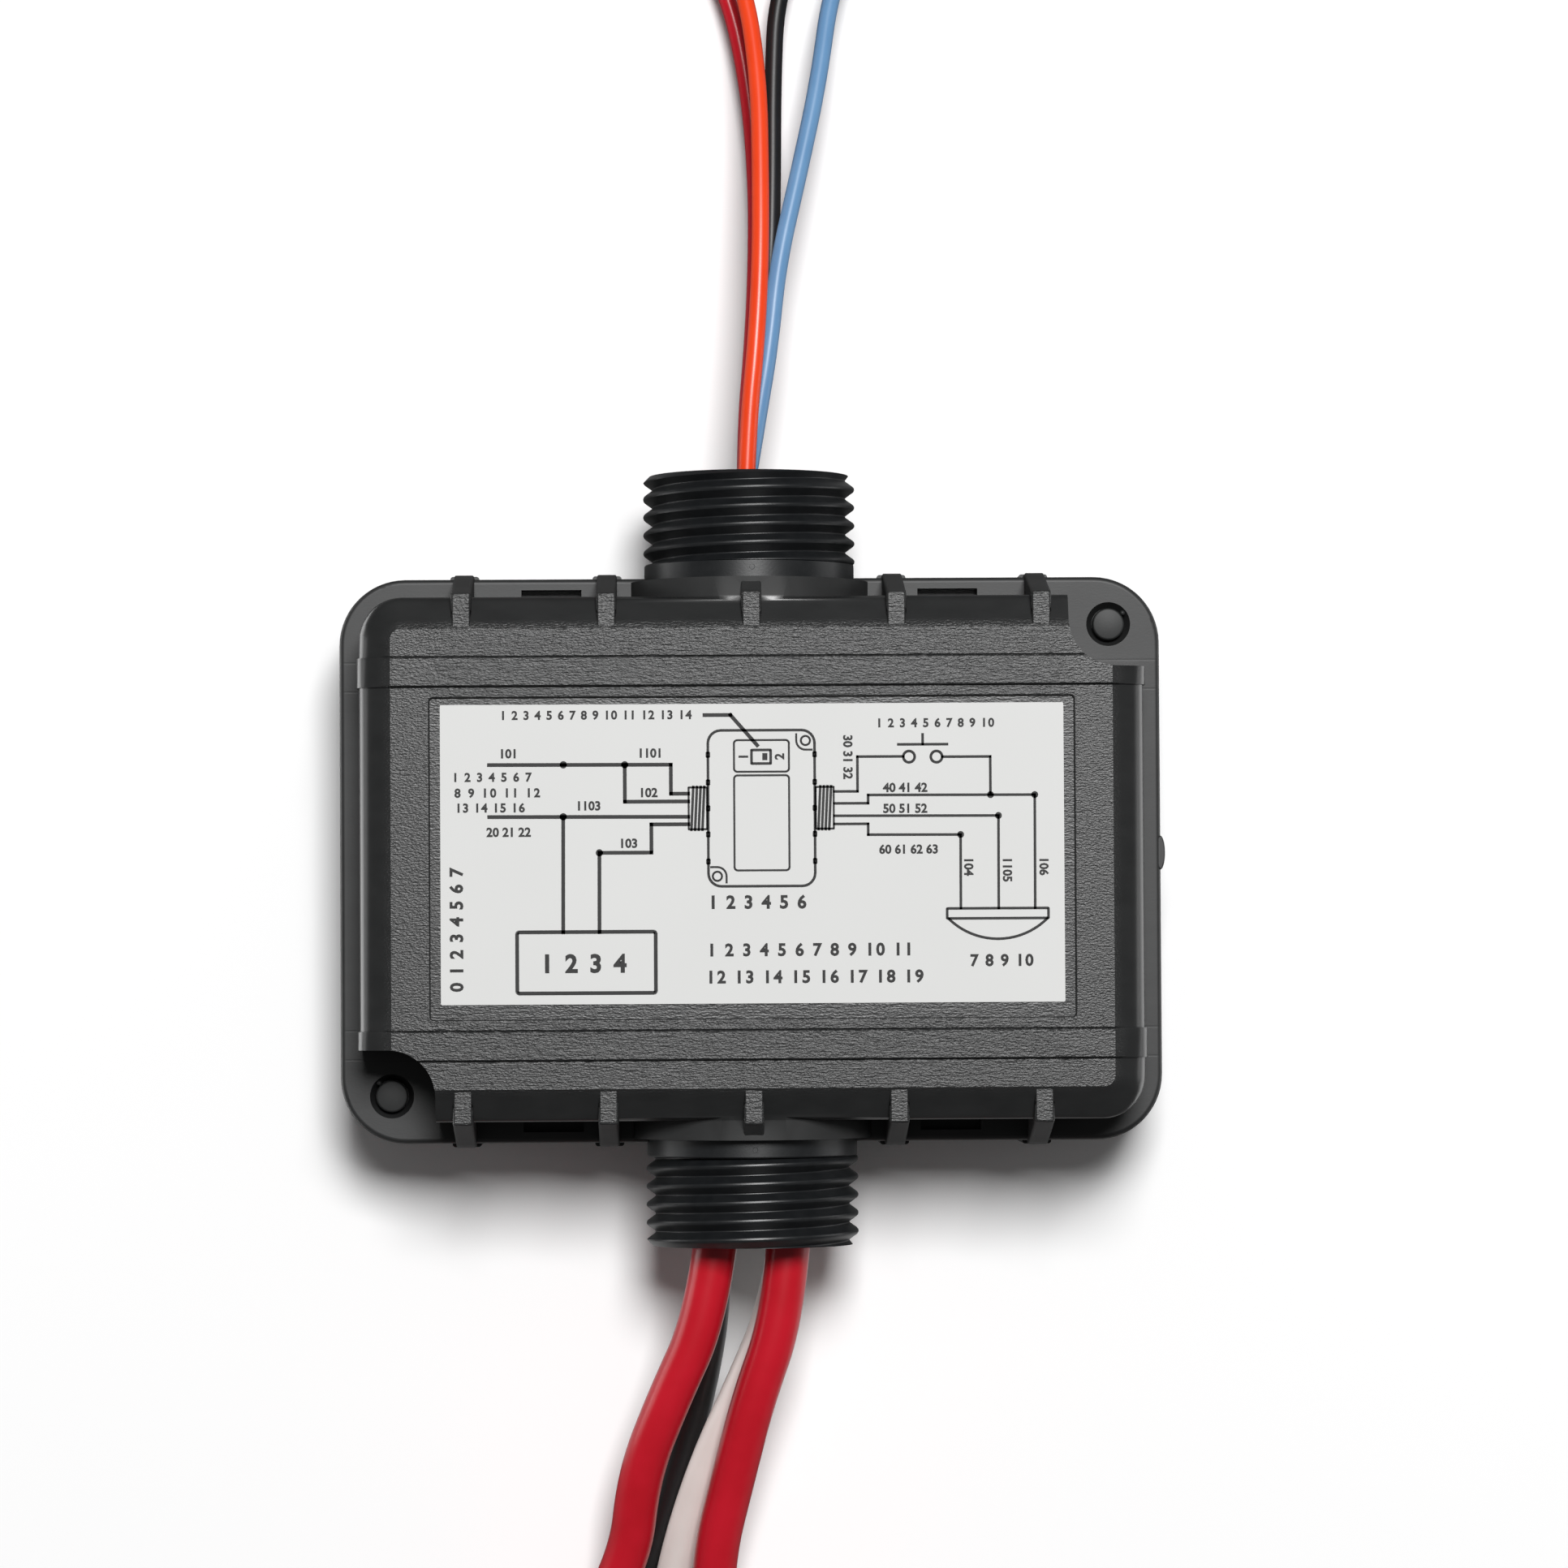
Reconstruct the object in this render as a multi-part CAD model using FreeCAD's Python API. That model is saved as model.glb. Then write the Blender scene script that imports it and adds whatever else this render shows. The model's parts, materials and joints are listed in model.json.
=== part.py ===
import FreeCAD, Part
import math
import os

# Occupancy sensor power pack: a low moulded box that screws to a junction box by
# a threaded plastic nipple, with a relay, a small transformer and an auto/manual
# slide switch inside. Mains leads leave one nipple and sensor leads the other.
# Millimetres. The box lies on its front face: X runs along it, Y across it from
# the line nipple to the sensor nipple, and Z rises from the front face.

V = FreeCAD.Vector

# Housing
housing_length = 82.0
housing_width = 56.3
rim_radius = 6.6
front_depth = 13.6
back_depth = 13.4
cover_wall = 2.2
shell_wall = 2.0
floor_thickness = 2.0
flange_thickness = 2.0
lip_depth = 3.0
lip_clearance = 0.15
shoulder_radius = 3.2
front_edge_radius = 2.5
rim_edge_radius = 0.5

# Label face
recess_end_margin = 7.05
recess_side_margin = 10.05
recess_depth = 0.3
recess_corner = 0.35
recess_edge = 0.2
label_end_gap = 1.0
label_side_gap = 1.05
label_shift = 0.4
label_thickness = 0.12
label_corner = 0.15
belt_margin = 6.0
belt_width = 2.9
belt_rise = 0.2

# Stiffening fins on both long sides
fin_count = 5
fin_end_margin = 12.5
fin_top_width = 1.9
fin_foot_width = 2.9
fin_corner = 0.3
fin_top_edge = 0.25
fin_drop = 0.15
fin_top_reach = 0.3
fin_foot_proud = 0.4
fin_sink = 0.6
pad_bottom = 3.0

# Snap hooks beside the inner fins, and the windows above them
hook_shift = 5.55
hook_width = 6.0
hook_thickness = 1.4
hook_length = 6.5
hook_barb = 0.8
hook_land = 0.4
hook_catch_drop = 4.6
hook_slit = 0.8
hook_root = 0.5
catch_clearance = 0.2
window_depth = 1.25

# Corner pins and their pockets
pin_inset_x = 5.1
pin_inset_y = 4.75
pin_radius = 1.45
pin_clearance = 0.1
pin_dome_radius = 1.6
pin_dome_height = 1.3
pin_dome_edge = 0.8
pin_head_radius = 2.6
pin_head_height = 0.9
pin_head_edge = 0.5
counterbore_radius = 2.2
counterbore_depth = 1.0
back_pocket_reach = 4.7
front_pocket_reach = 4.5
front_pocket_depth = 4.0
pocket_radius = 4.6
boss_radius = 4.0
boss_clearance = 0.3

# Front face: two shallow panels and the switch window
panel_depth = 0.35
panel_radius = 2.0
panel_width = 29.2
panel_end_margin = 8.25
panel_gap = 1.95
switch_panel_length = 16.6
switch_panel_margin = 5.1
window_length = 7.5
window_width = 10.3
window_corner = 0.6

# Nipples, one half inch trade size
nipple_radius = 10.6
nipple_length = 10.3
nipple_chamfer = 0.8
neck_clearance = 0.2
hole_oversize = 0.15
nipple_bore = 7.9
inner_bore = 7.2
nipple_flange_reach = 2.4
nipple_flange_thickness = 2.2
nipple_flange_gap = 0.2
saddle_wall = 1.45
saddle_inset = 0.4
cradle_half_width = 12.0
cradle_thickness = 1.6
cradle_gap = 0.2
cradle_height = 7.0
cradle_cut = 9.0

# Wire plugs in the nipple mouths, and the leads through them
plug_recess = 1.5
plug_thickness = 4.0
plug_clearance = 0.1
lead_hole_clearance = 0.05
load_lead_diameter = 4.4
line_lead_diameter = 3.5
sensor_lead_diameter = 1.75
line_lead_offset = 3.6
load_lead_rise = 2.6
line_lead_drop = 2.4
sensor_row_x = -0.3
sensor_lead_gap = 0.3
stripped_length = 12.0
load_strand_diameter = 2.3
line_strand_diameter = 1.85
sensor_strand_diameter = 0.76
load_tail_inset = 8.5
line_tail_inset = 3.0
sensor_tail_inset = 2.0
sensor_bend_inset = 2.15
sensor_tail_pitch = 3.0
tail_bare_length = 4.5

# Circuit board and its supports
board_end_gap = 0.65
board_side_gap = 0.3
board_corner = 1.5
board_thickness = 1.6
standoff_height = 4.0
standoff_radius = 2.0
standoff_inset_x = 3.0
standoff_inset_y = 1.75
post_radius = 1.6
post_gap = 0.2

# Slide switch under the board
switch_end_inset = 13.8
switch_y = -0.3
switch_length = 9.0
switch_width = 12.4
switch_shell = 0.9
switch_face = 0.8
switch_gap = 0.1
switch_travel = 4.0
knob_length = 3.9
knob_width = 2.8
knob_recess = 0.5
knob_groove = 0.35
knob_groove_pitch = 0.7
slot_clearance = 0.15
carriage_length = 5.2
carriage_width = 5.6
carriage_thickness = 0.9
contact_length = 2.4
contact_thickness = 0.3
contact_foot = 0.45
terminal_head_radius = 0.8
terminal_head_height = 0.45
terminal_radius = 0.45
terminal_rise = 0.4
terminal_clearance = 0.1

# Relay
relay_end_gap = 2.15
relay_side_gap = 3.8
relay_top_gap = 1.0
relay_length = 28.0
relay_width = 18.0
relay_corner = 1.0
relay_room_corner = 0.5
relay_base_thickness = 1.6
relay_case_wall = 0.8
yoke_thickness = 1.3
yoke_width = 9.0
yoke_inset = 1.3
coil_offset = 7.3
core_radius = 2.5
pole_radius = 3.6
pole_thickness = 0.6
bobbin_radius = 5.4
bobbin_wall = 0.6
bobbin_flange = 0.8
coil_clearance = 0.1
winding_radius = 5.0
armature_gap = 0.9
armature_thickness = 0.9
armature_reach = 4.4
blade_width = 5.0
blade_thickness = 0.3
blade_overhang = 0.5
contact_headroom = 0.4
contact_button_radius = 1.6
contact_button_height = 0.8
contact_gap = 1.5
contact_end_gap = 6.0
post_blade_thickness = 0.8

# Transformer
transformer_end_gap = 4.15
transformer_side_gap = 2.6
transformer_top_gap = 1.5
core_length = 24.0
core_width = 20.0
core_leg = 4.0
core_stack = 8.0
transformer_bobbin_wall = 0.7
transformer_bobbin_flange = 0.9
transformer_winding_inset = 0.7
transformer_winding_corner = 1.5

# Smaller parts on the board: an inset is the centre's distance from the nearer
# end of the cavity and from the board's edge on the line side
bulk_radius = 5.0
bulk_height = 12.5
bulk_inset = (21.65, 5.5)
output_radius = 3.15
output_height = 7.2
output_inset = (11.85, 5.0)
can_edge = 0.5
can_groove_level = 1.4
can_groove_offset = 0.35
can_groove_radius = 0.6
film_size = (18.0, 6.0, 11.0)
film_inset = (17.65, 3.7)
film_edge = 0.5
varistor_radius = 4.5
varistor_thickness = 3.6
varistor_edge = 1.0
varistor_inset = 5.2
varistor_lift = 1.2
varistor_leg_radius = 0.4
varistor_leg_offset = 2.5
fuse_radius = 1.8
fuse_cap_radius = 2.0
fuse_length = 13.0
fuse_cap_length = 2.5
fuse_inset = 17.15
bridge_size = (8.4, 6.4, 3.2)
bridge_place = (2.5, 6.0)
bridge_edge = 0.4
regulator_radius = 2.4
regulator_height = 4.6
regulator_lift = 1.6
regulator_flat = 1.2
regulator_leg = 0.5
regulator_pitch = 1.4
regulator_inset = (5.25, 8.9)

# Routes of the free leads, from the wire plug to the stripped end
lead_routes = {
    "load_lead_red_left": [
        (-3.6, -36.95, 16.2), (-4.1, -45.5, 15.9), (-7.2, -54.0, 14.4), (-10.7, -61.5, 12.0),
        (-13.4, -70.5, 9.0), (-18.5, -80.5, 5.8), (-26.0, -90.0, 3.4), (-33.0, -101.0, 2.4),
        (-36.0, -114.5, 2.3), (-32.0, -127.5, 2.3), (-23.0, -137.5, 2.3), (-12.5, -145.5, 2.3),
        (-3.0, -153.5, 2.3)],
    "load_lead_red_right": [
        (3.6, -36.95, 16.2), (3.3, -45.5, 15.9), (0.8, -54.0, 14.4), (-1.6, -61.5, 12.2),
        (-3.4, -70.5, 9.6), (-3.8, -81.5, 6.2), (-0.5, -93.0, 3.4), (7.0, -103.0, 2.4),
        (17.5, -110.0, 2.3), (27.5, -118.0, 2.3), (34.0, -129.5, 2.3), (36.0, -142.5, 2.3),
        (35.2, -152.0, 2.3)],
    "line_lead_black": [
        (-3.6, -36.95, 11.2), (-3.9, -44.5, 10.3), (-5.1, -52.0, 7.3), (-7.1, -60.0, 4.3),
        (-9.9, -69.5, 2.3), (-14.0, -80.5, 1.8), (-20.0, -91.5, 1.8), (-25.5, -103.0, 1.8),
        (-26.5, -115.5, 1.8), (-20.5, -127.0, 1.8), (-10.5, -135.0, 1.8), (0.5, -141.5, 1.8),
        (10.0, -149.5, 1.8)],
    "line_lead_white": [
        (3.6, -36.95, 11.2), (2.4, -44.5, 10.9), (-1.0, -52.5, 9.8), (-4.4, -60.5, 8.1),
        (-7.0, -70.0, 5.9), (-9.4, -81.0, 3.4), (-12.0, -93.0, 1.9), (-12.0, -106.0, 1.8),
        (-5.5, -117.0, 1.8), (5.0, -124.5, 1.8), (16.0, -131.0, 1.8), (24.0, -141.0, 1.8),
        (26.0, -153.0, 1.8)],
    "sensor_lead_orange": [
        (-0.3, 36.95, 16.675), (0.0, 44.0, 16.6), (0.8, 51.5, 16.2), (1.3, 60.0, 14.9),
        (1.4, 69.0, 13.0), (0.9, 79.0, 10.4), (-0.5, 89.0, 7.4), (-4.0, 99.0, 4.4),
        (-10.5, 108.0, 2.2), (-18.0, 116.5, 1.1), (-22.5, 127.5, 1.0), (-20.0, 139.0, 1.0),
        (-12.0, 147.0, 1.0), (-1.8, 151.2, 1.0)],
    "sensor_lead_blue": [
        (-0.3, 36.95, 14.625), (0.9, 44.0, 14.55), (2.2, 51.5, 14.2), (3.1, 60.0, 13.0),
        (5.2, 69.0, 11.2), (7.4, 79.0, 8.8), (8.8, 89.0, 6.0), (12.5, 98.5, 3.4),
        (19.5, 106.5, 1.6), (28.5, 113.5, 1.0), (35.0, 124.0, 1.0), (34.5, 137.0, 1.0),
        (26.5, 147.0, 1.0), (17.0, 154.0, 1.0)],
    "sensor_lead_black": [
        (-0.3, 36.95, 12.575), (0.7, 44.0, 12.3), (1.9, 51.5, 11.4), (2.4, 60.0, 9.9),
        (2.7, 69.0, 8.2), (3.4, 79.0, 6.2), (4.2, 89.0, 4.2), (7.5, 99.0, 2.3),
        (13.5, 108.0, 1.2), (21.5, 117.0, 1.0), (27.0, 128.5, 1.0), (24.0, 140.5, 1.0),
        (13.5, 145.0, 1.0), (2.3, 143.8, 1.0)],
    "sensor_lead_red": [
        (-0.3, 36.95, 10.525), (-0.2, 44.0, 10.2), (0.5, 51.5, 9.1), (1.0, 60.0, 7.6),
        (1.1, 69.0, 6.0), (0.4, 79.0, 4.3), (-1.6, 89.0, 2.8), (-6.5, 98.5, 1.6),
        (-14.5, 106.0, 1.0), (-24.5, 112.0, 1.0), (-33.5, 120.5, 1.0), (-36.0, 132.5, 1.0),
        (-31.0, 144.5, 1.0), (-21.0, 152.0, 1.0)],
}

# Sizes that follow from the driving ones
half_length = housing_length / 2
half_width = housing_width / 2
face_level = front_depth + back_depth
ceiling_level = face_level - shell_wall
flange_top = front_depth + flange_thickness
lip_bottom = front_depth - lip_depth
front_cavity_length = housing_length - 2 * cover_wall
front_cavity_width = housing_width - 2 * cover_wall
body_length = front_cavity_length - 2 * lip_clearance
body_width = front_cavity_width - 2 * lip_clearance
body_radius = rim_radius - cover_wall - lip_clearance
cavity_length = body_length - 2 * shell_wall
cavity_width = body_width - 2 * shell_wall
cavity_radius = body_radius - shell_wall
body_side = body_width / 2
cavity_side = cavity_width / 2
cavity_end = cavity_length / 2
recess_length = body_length - 2 * recess_end_margin
recess_width = body_width - 2 * recess_side_margin
label_length = recess_length - 2 * label_end_gap
label_width = recess_width - 2 * label_side_gap
belt_inner = body_side - belt_margin - belt_width
fin_pitch = (housing_length - 2 * fin_end_margin) / (fin_count - 1)
fin_places = [(index - (fin_count - 1) / 2) * fin_pitch for index in range(fin_count)]
hook_places = [-fin_pitch - hook_shift, fin_pitch + hook_shift]
hook_catch = front_depth - hook_catch_drop
hook_bottom = front_depth - hook_length
pin_x = half_length - pin_inset_x
pin_y = half_width - pin_inset_y
pin_places = [(pin_x, pin_y, 1), (-pin_x, -pin_y, -1)]
switch_panel_x = half_length - switch_panel_margin - switch_panel_length / 2
large_panel_length = (housing_length - panel_end_margin - panel_gap
                      - switch_panel_length - switch_panel_margin)
large_panel_x = large_panel_length / 2 + panel_end_margin - half_length
nipple_end = half_width + nipple_length
plug_face = nipple_end - plug_recess
plug_back = plug_face - plug_thickness
neck_radius = nipple_radius - neck_clearance
hole_radius = neck_radius + hole_oversize
saddle_radius = hole_radius + saddle_wall
saddle_top = front_depth + saddle_radius
saddle_end = half_width - saddle_inset
nipple_flange_radius = nipple_radius + nipple_flange_reach
nipple_flange_back = cavity_side - nipple_flange_thickness
cradle_outer = nipple_flange_back - cradle_gap
cradle_inner = cradle_outer - cradle_thickness
board_length = cavity_length - 2 * board_end_gap
board_width = 2 * (cradle_inner - board_side_gap)
board_side = board_width / 2
board_bottom = floor_thickness + standoff_height
board_top = board_bottom + board_thickness
post_bottom = board_top + post_gap
standoff_places = [(sign * (board_length / 2 - standoff_inset_x),
                    -sign * (board_side - standoff_inset_y)) for sign in (1, -1)]
load_level = front_depth + load_lead_rise
line_level = front_depth - line_lead_drop
sensor_row_pitch = sensor_lead_diameter + sensor_lead_gap
sensor_tail_landing = board_side - sensor_tail_inset
sensor_tail_bend = half_width - sensor_bend_inset
tail_landings = {load_lead_diameter: load_tail_inset - board_side,
                 line_lead_diameter: line_tail_inset - board_side}

# Share of the shorter run that an arc of a route takes, and how far cuts run on
arc_share = 0.45
strand_arc_share = 0.75
overcut = 1.0
through = 5.0


# Basic solids
def box(x, y, z):
    """Box between three (low, high) pairs."""
    return Part.makeBox(x[1] - x[0], y[1] - y[0], z[1] - z[0], V(x[0], y[0], z[0]))


def across(side, low, high):
    """Range across the housing on one side, as a (low, high) pair."""
    return (low, high) if side > 0 else (-high, -low)


def upright(radius, low, high, x=0.0, y=0.0):
    """Cylinder that stands up."""
    return Part.makeCylinder(radius, high - low, V(x, y, low))


def axle(side, radius, low, high, x=0.0, z=front_depth):
    """Cylinder along Y on one side of the housing, in line with the nipple."""
    return Part.makeCylinder(radius, high - low, V(x, side * low, z), V(0, side, 0))


def rounded_outline(length, width, radius, x, y, z):
    """Closed rectangle with round corners, lying level."""
    a, b = length / 2, width / 2
    corners = [(a - radius, b - radius, 0), (radius - a, b - radius, 90),
               (radius - a, radius - b, 180), (a - radius, radius - b, 270)]
    arcs = []
    for corner_x, corner_y, start in corners:
        points = []
        for turn in (0, 45, 90):
            angle = math.radians(start + turn)
            points.append(V(x + corner_x + radius * math.cos(angle),
                            y + corner_y + radius * math.sin(angle), z))
        arcs.append(points)
    edges = []
    for index, points in enumerate(arcs):
        edges.append(Part.Arc(*points).toShape())
        edges.append(Part.makeLine(points[2], arcs[(index + 1) % 4][0]))
    return Part.Wire(edges)


def slab(length, width, radius, low, high, x=0.0, y=0.0):
    """Upright prism with round corners."""
    face = Part.Face(rounded_outline(length, width, radius, x, y, low))
    return face.extrude(V(0, 0, high - low))


def edges_at(shape, level):
    """The edges that lie at one height."""
    found = []
    for edge in shape.Edges:
        limits = edge.BoundBox
        if abs(limits.ZMin - level) < 1e-4 and abs(limits.ZMax - level) < 1e-4:
            found.append(edge)
    return found


def plate(points, direction):
    """Flat outline of straight edges, pulled along a direction."""
    outline = Part.makePolygon(points + [points[0]])
    return Part.Face(outline).extrude(direction)


def fused(shapes):
    """One solid out of touching ones."""
    whole = shapes[0]
    for shape in shapes[1:]:
        whole = whole.fuse(shape)
    return whole.removeSplitter()


def cut(shape, tools):
    """A shape less each of the tools."""
    for tool in tools:
        shape = shape.cut(tool)
    return shape


# Wires and leads
def route_edges(points, share):
    """Straight runs joined by tangent arcs that take a share of the shorter run."""
    edges = []
    radii = []
    start = points[0]
    for before, corner, after in zip(points, points[1:], points[2:]):
        back = before - corner
        ahead = after - corner
        turn = math.pi - back.getAngle(ahead)
        reach = share * min(back.Length, ahead.Length)
        back.normalize()
        ahead.normalize()
        arc_start = corner + back * reach
        arc_end = corner + ahead * reach
        radius = reach / math.tan(turn / 2)
        middle = back + ahead
        middle.normalize()
        arc_middle = corner + middle * (radius / math.cos(turn / 2) - radius)
        edges.append(Part.makeLine(start, arc_start))
        edges.append(Part.Arc(arc_start, arc_middle, arc_end).toShape())
        radii.append(radius)
        start = arc_end
    edges.append(Part.makeLine(start, points[-1]))
    return edges, radii


def tube(name, points, diameter, share=arc_share):
    """Round solid along a route, with its arc radii and volume printed."""
    vectors = [V(*point) for point in points]
    edges, radii = route_edges(vectors, share)
    spine = Part.Wire(edges)
    start = vectors[0]
    circle = Part.Circle(start, vectors[1] - start, diameter / 2)
    solid = spine.makePipeShell([Part.Wire(circle.toShape())], True, False)
    expected = math.pi * diameter ** 2 / 4 * spine.Length
    print(name, "length", round(spine.Length, 1), "volume ratio", round(solid.Volume / expected, 4),
          "radii", [round(radius, 1) for radius in radii])
    return solid


def tail(name, points, diameter):
    """Inner end of a lead: insulated through the plug, then bare and bent down to the board."""
    before, corner = [V(*point) for point in points[-3:-1]]
    back = before - corner
    strip = corner + back.normalize() * tail_bare_length
    insulated = [V(*point) for point in points[:-2]] + [strip]
    bare = [strip, corner, V(*points[-1])]
    return [tube(name + " tail", insulated, diameter),
            tube(name + " tail strands", bare, strand_diameters[diameter], strand_arc_share)]


# Stiffening fins
def fin(side, x):
    """Tapering fin from the shoulder down to the rim, or to the saddle over the nipple."""
    top_level = face_level - fin_drop
    inner = body_side - shoulder_radius
    top_outer = body_side + fin_top_reach
    if abs(x) > nipple_radius:
        foot_outer, foot_level = half_width + fin_foot_proud, flange_top
    else:
        foot_outer, foot_level = saddle_end, saddle_top - fin_sink
    sections = []
    for width, outer, level in ((fin_foot_width, foot_outer, foot_level),
                                (fin_top_width, top_outer, top_level)):
        low, high = across(side, inner, outer)
        sections.append(rounded_outline(width, high - low, fin_corner, x, (low + high) / 2, level))
    wedge = Part.makeLoft(sections, True, True)
    wedge = wedge.makeFillet(fin_top_edge, edges_at(wedge, top_level))
    foot = slab(fin_foot_width, foot_outer - inner, fin_corner, front_depth, foot_level,
                x, side * (inner + foot_outer) / 2)
    return wedge.fuse(foot)


# Back cover: label face, shoulders, fins, flange, lip and snap hooks
def hook(side, x):
    """Cantilever hook that hangs from the lip and catches in the front cover."""
    arm = box((x - hook_width / 2, x + hook_width / 2),
              across(side, body_side - hook_thickness, body_side), (hook_bottom, lip_bottom))
    barb = body_side + hook_barb
    profile = [(body_side, hook_catch), (barb, hook_catch), (barb, hook_catch - hook_land),
               (body_side, hook_bottom)]
    points = [V(x - hook_width / 2, side * y, z) for y, z in profile]
    return arm.fuse(plate(points, V(hook_width, 0, 0)))


def pocket(reach, grow, low, high, place):
    """Round cornered block over one corner, as a pocket or the wall around it."""
    x, y, sign = place
    span = 2 * (reach + pin_inset_x + grow)
    return slab(span, span, pocket_radius + grow, low, high,
                x + sign * pin_inset_x, y + sign * pin_inset_x)


def belt(low, high):
    """Slightly raised body skin between two places across the housing."""
    skin = slab(body_length + 2 * belt_rise, body_width + 2 * belt_rise, body_radius + belt_rise,
                front_depth, face_level + belt_rise)
    top_edges = edges_at(skin, face_level + belt_rise)
    skin = skin.makeFillet(shoulder_radius + belt_rise, top_edges)
    return skin.common(box((-half_length, half_length), (low, high),
                           (front_depth, face_level + overcut)))


def back_cover():
    """Back half of the housing, with the label recess in its face."""
    body = slab(body_length, body_width, body_radius, lip_bottom, face_level)
    body = body.makeFillet(shoulder_radius, edges_at(body, face_level))
    flange = slab(housing_length, housing_width, rim_radius, front_depth, flange_top)
    flange = flange.makeFillet(rim_edge_radius, edges_at(flange, flange_top))
    shapes = [body, flange]
    half_hole = box((-half_length, half_length), (-half_width, half_width), (front_depth, face_level))
    for side in (1, -1):
        shapes.append(belt(*across(side, belt_inner, belt_inner + belt_width)))
        saddle = axle(side, saddle_radius, cavity_side, saddle_end)
        shapes.append(saddle.common(half_hole))
        for x in fin_places:
            shapes.append(fin(side, x))
    cover = fused(shapes)

    lip_under = lip_bottom - overcut
    cavity = slab(cavity_length, cavity_width, cavity_radius, lip_under, ceiling_level)
    tools = []
    for place in pin_places:
        cavity = cavity.cut(pocket(back_pocket_reach, shell_wall, front_depth, face_level, place))
        tools.append(pocket(back_pocket_reach, 0.0, flange_top, face_level + overcut, place))
    tools.append(cavity)
    tools.append(slab(recess_length, recess_width, recess_corner,
                      face_level - recess_depth, face_level + overcut))
    for side in (1, -1):
        tools.append(axle(side, hole_radius, cavity_side - through, half_width + through))
        lip_range = across(side, cavity_side - overcut, body_side + lip_clearance)
        pad_room = nipple_flange_radius + boss_clearance
        tools.append(box((-pad_room, pad_room), lip_range, (lip_under, front_depth)))
        for x in hook_places:
            tools.append(box((x - hook_width / 2, x + hook_width / 2),
                             across(side, body_side, body_side + window_depth),
                             (front_depth, flange_top + overcut)))
            for edge in (-1, 1):
                inner = x + edge * hook_width / 2
                outer = inner + edge * hook_slit
                tools.append(box((min(inner, outer), max(inner, outer)), lip_range,
                                 (lip_under, front_depth - hook_root)))
    for x, y, _ in pin_places:
        tools.append(upright(boss_radius + boss_clearance, lip_under, front_depth, x, y))
        tools.append(upright(pin_radius + pin_clearance, lip_under, face_level, x, y))
        tools.append(upright(counterbore_radius, flange_top - counterbore_depth, face_level, x, y))
    cover = cut(cover, tools)
    recess_rim = [edge for edge in edges_at(cover, face_level)
                  if abs(edge.BoundBox.Center.x) <= recess_length / 2 + 1e-4
                  and abs(edge.BoundBox.Center.y) <= recess_width / 2 + 1e-4]
    cover = cover.makeFillet(recess_edge, recess_rim)

    additions = [cover]
    for side in (1, -1):
        for x in hook_places:
            additions.append(hook(side, x))
    for x, y in standoff_places:
        additions.append(upright(post_radius, post_bottom, ceiling_level, x, y))
    return fused(additions)


# Front cover: panels, switch window, lip seat, pin bosses and board standoffs
def front_cover():
    """Front half of the housing, which lies on the table."""
    outer = slab(housing_length, housing_width, rim_radius, 0, front_depth)
    outer = outer.makeFillet(front_edge_radius, edges_at(outer, 0))
    inside = slab(front_cavity_length, front_cavity_width, rim_radius - cover_wall,
                  floor_thickness, front_depth + overcut)
    shell = outer.cut(inside)
    shapes = [shell]
    for side in (1, -1):
        shapes.append(box((-nipple_flange_radius, nipple_flange_radius),
                          across(side, cavity_side, half_width - cover_wall / 2),
                          (floor_thickness, front_depth)))
        cradle = box((-cradle_half_width, cradle_half_width), across(side, cradle_inner, cradle_outer),
                     (floor_thickness, floor_thickness + cradle_height))
        shapes.append(cradle.cut(axle(side, cradle_cut, cradle_outer - through, half_width)))
        for x in fin_places:
            if abs(x) > nipple_radius:
                shapes.append(slab(fin_foot_width, cover_wall + fin_foot_proud, fin_corner,
                                   pad_bottom, front_depth, x,
                                   side * (half_width + (fin_foot_proud - cover_wall) / 2)))
    for place in pin_places:
        wall = pocket(front_pocket_reach, shell_wall, 0, board_bottom, place)
        boss = upright(boss_radius, board_bottom, front_depth, place[0], place[1])
        shapes.append(outer.common(wall.fuse(boss)))
    for x, y in standoff_places:
        shapes.append(upright(standoff_radius, floor_thickness, board_bottom, x, y))
    cover = fused(shapes)

    tools = [slab(large_panel_length, panel_width, panel_radius, -overcut, panel_depth,
                  large_panel_x),
             slab(switch_panel_length, panel_width, panel_radius, -overcut, panel_depth,
                  switch_panel_x),
             slab(window_length, window_width, window_corner, -overcut, floor_thickness + overcut,
                  switch_x, switch_y)]
    for side in (1, -1):
        tools.append(axle(side, hole_radius, cavity_side - cradle_gap / 2, half_width + through))
        for x in hook_places:
            half = hook_width / 2 + catch_clearance
            depth = body_side + hook_barb + 2 * lip_clearance
            tools.append(box((x - half, x + half),
                             across(side, body_side, depth),
                             (hook_bottom - lip_clearance, hook_catch + catch_clearance)))
    for place in pin_places:
        tools.append(pocket(front_pocket_reach, 0.0, -overcut, front_pocket_depth, place))
        tools.append(upright(pin_radius + pin_clearance, -overcut, front_depth + overcut,
                             place[0], place[1]))
    return cut(cover, tools)


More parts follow.
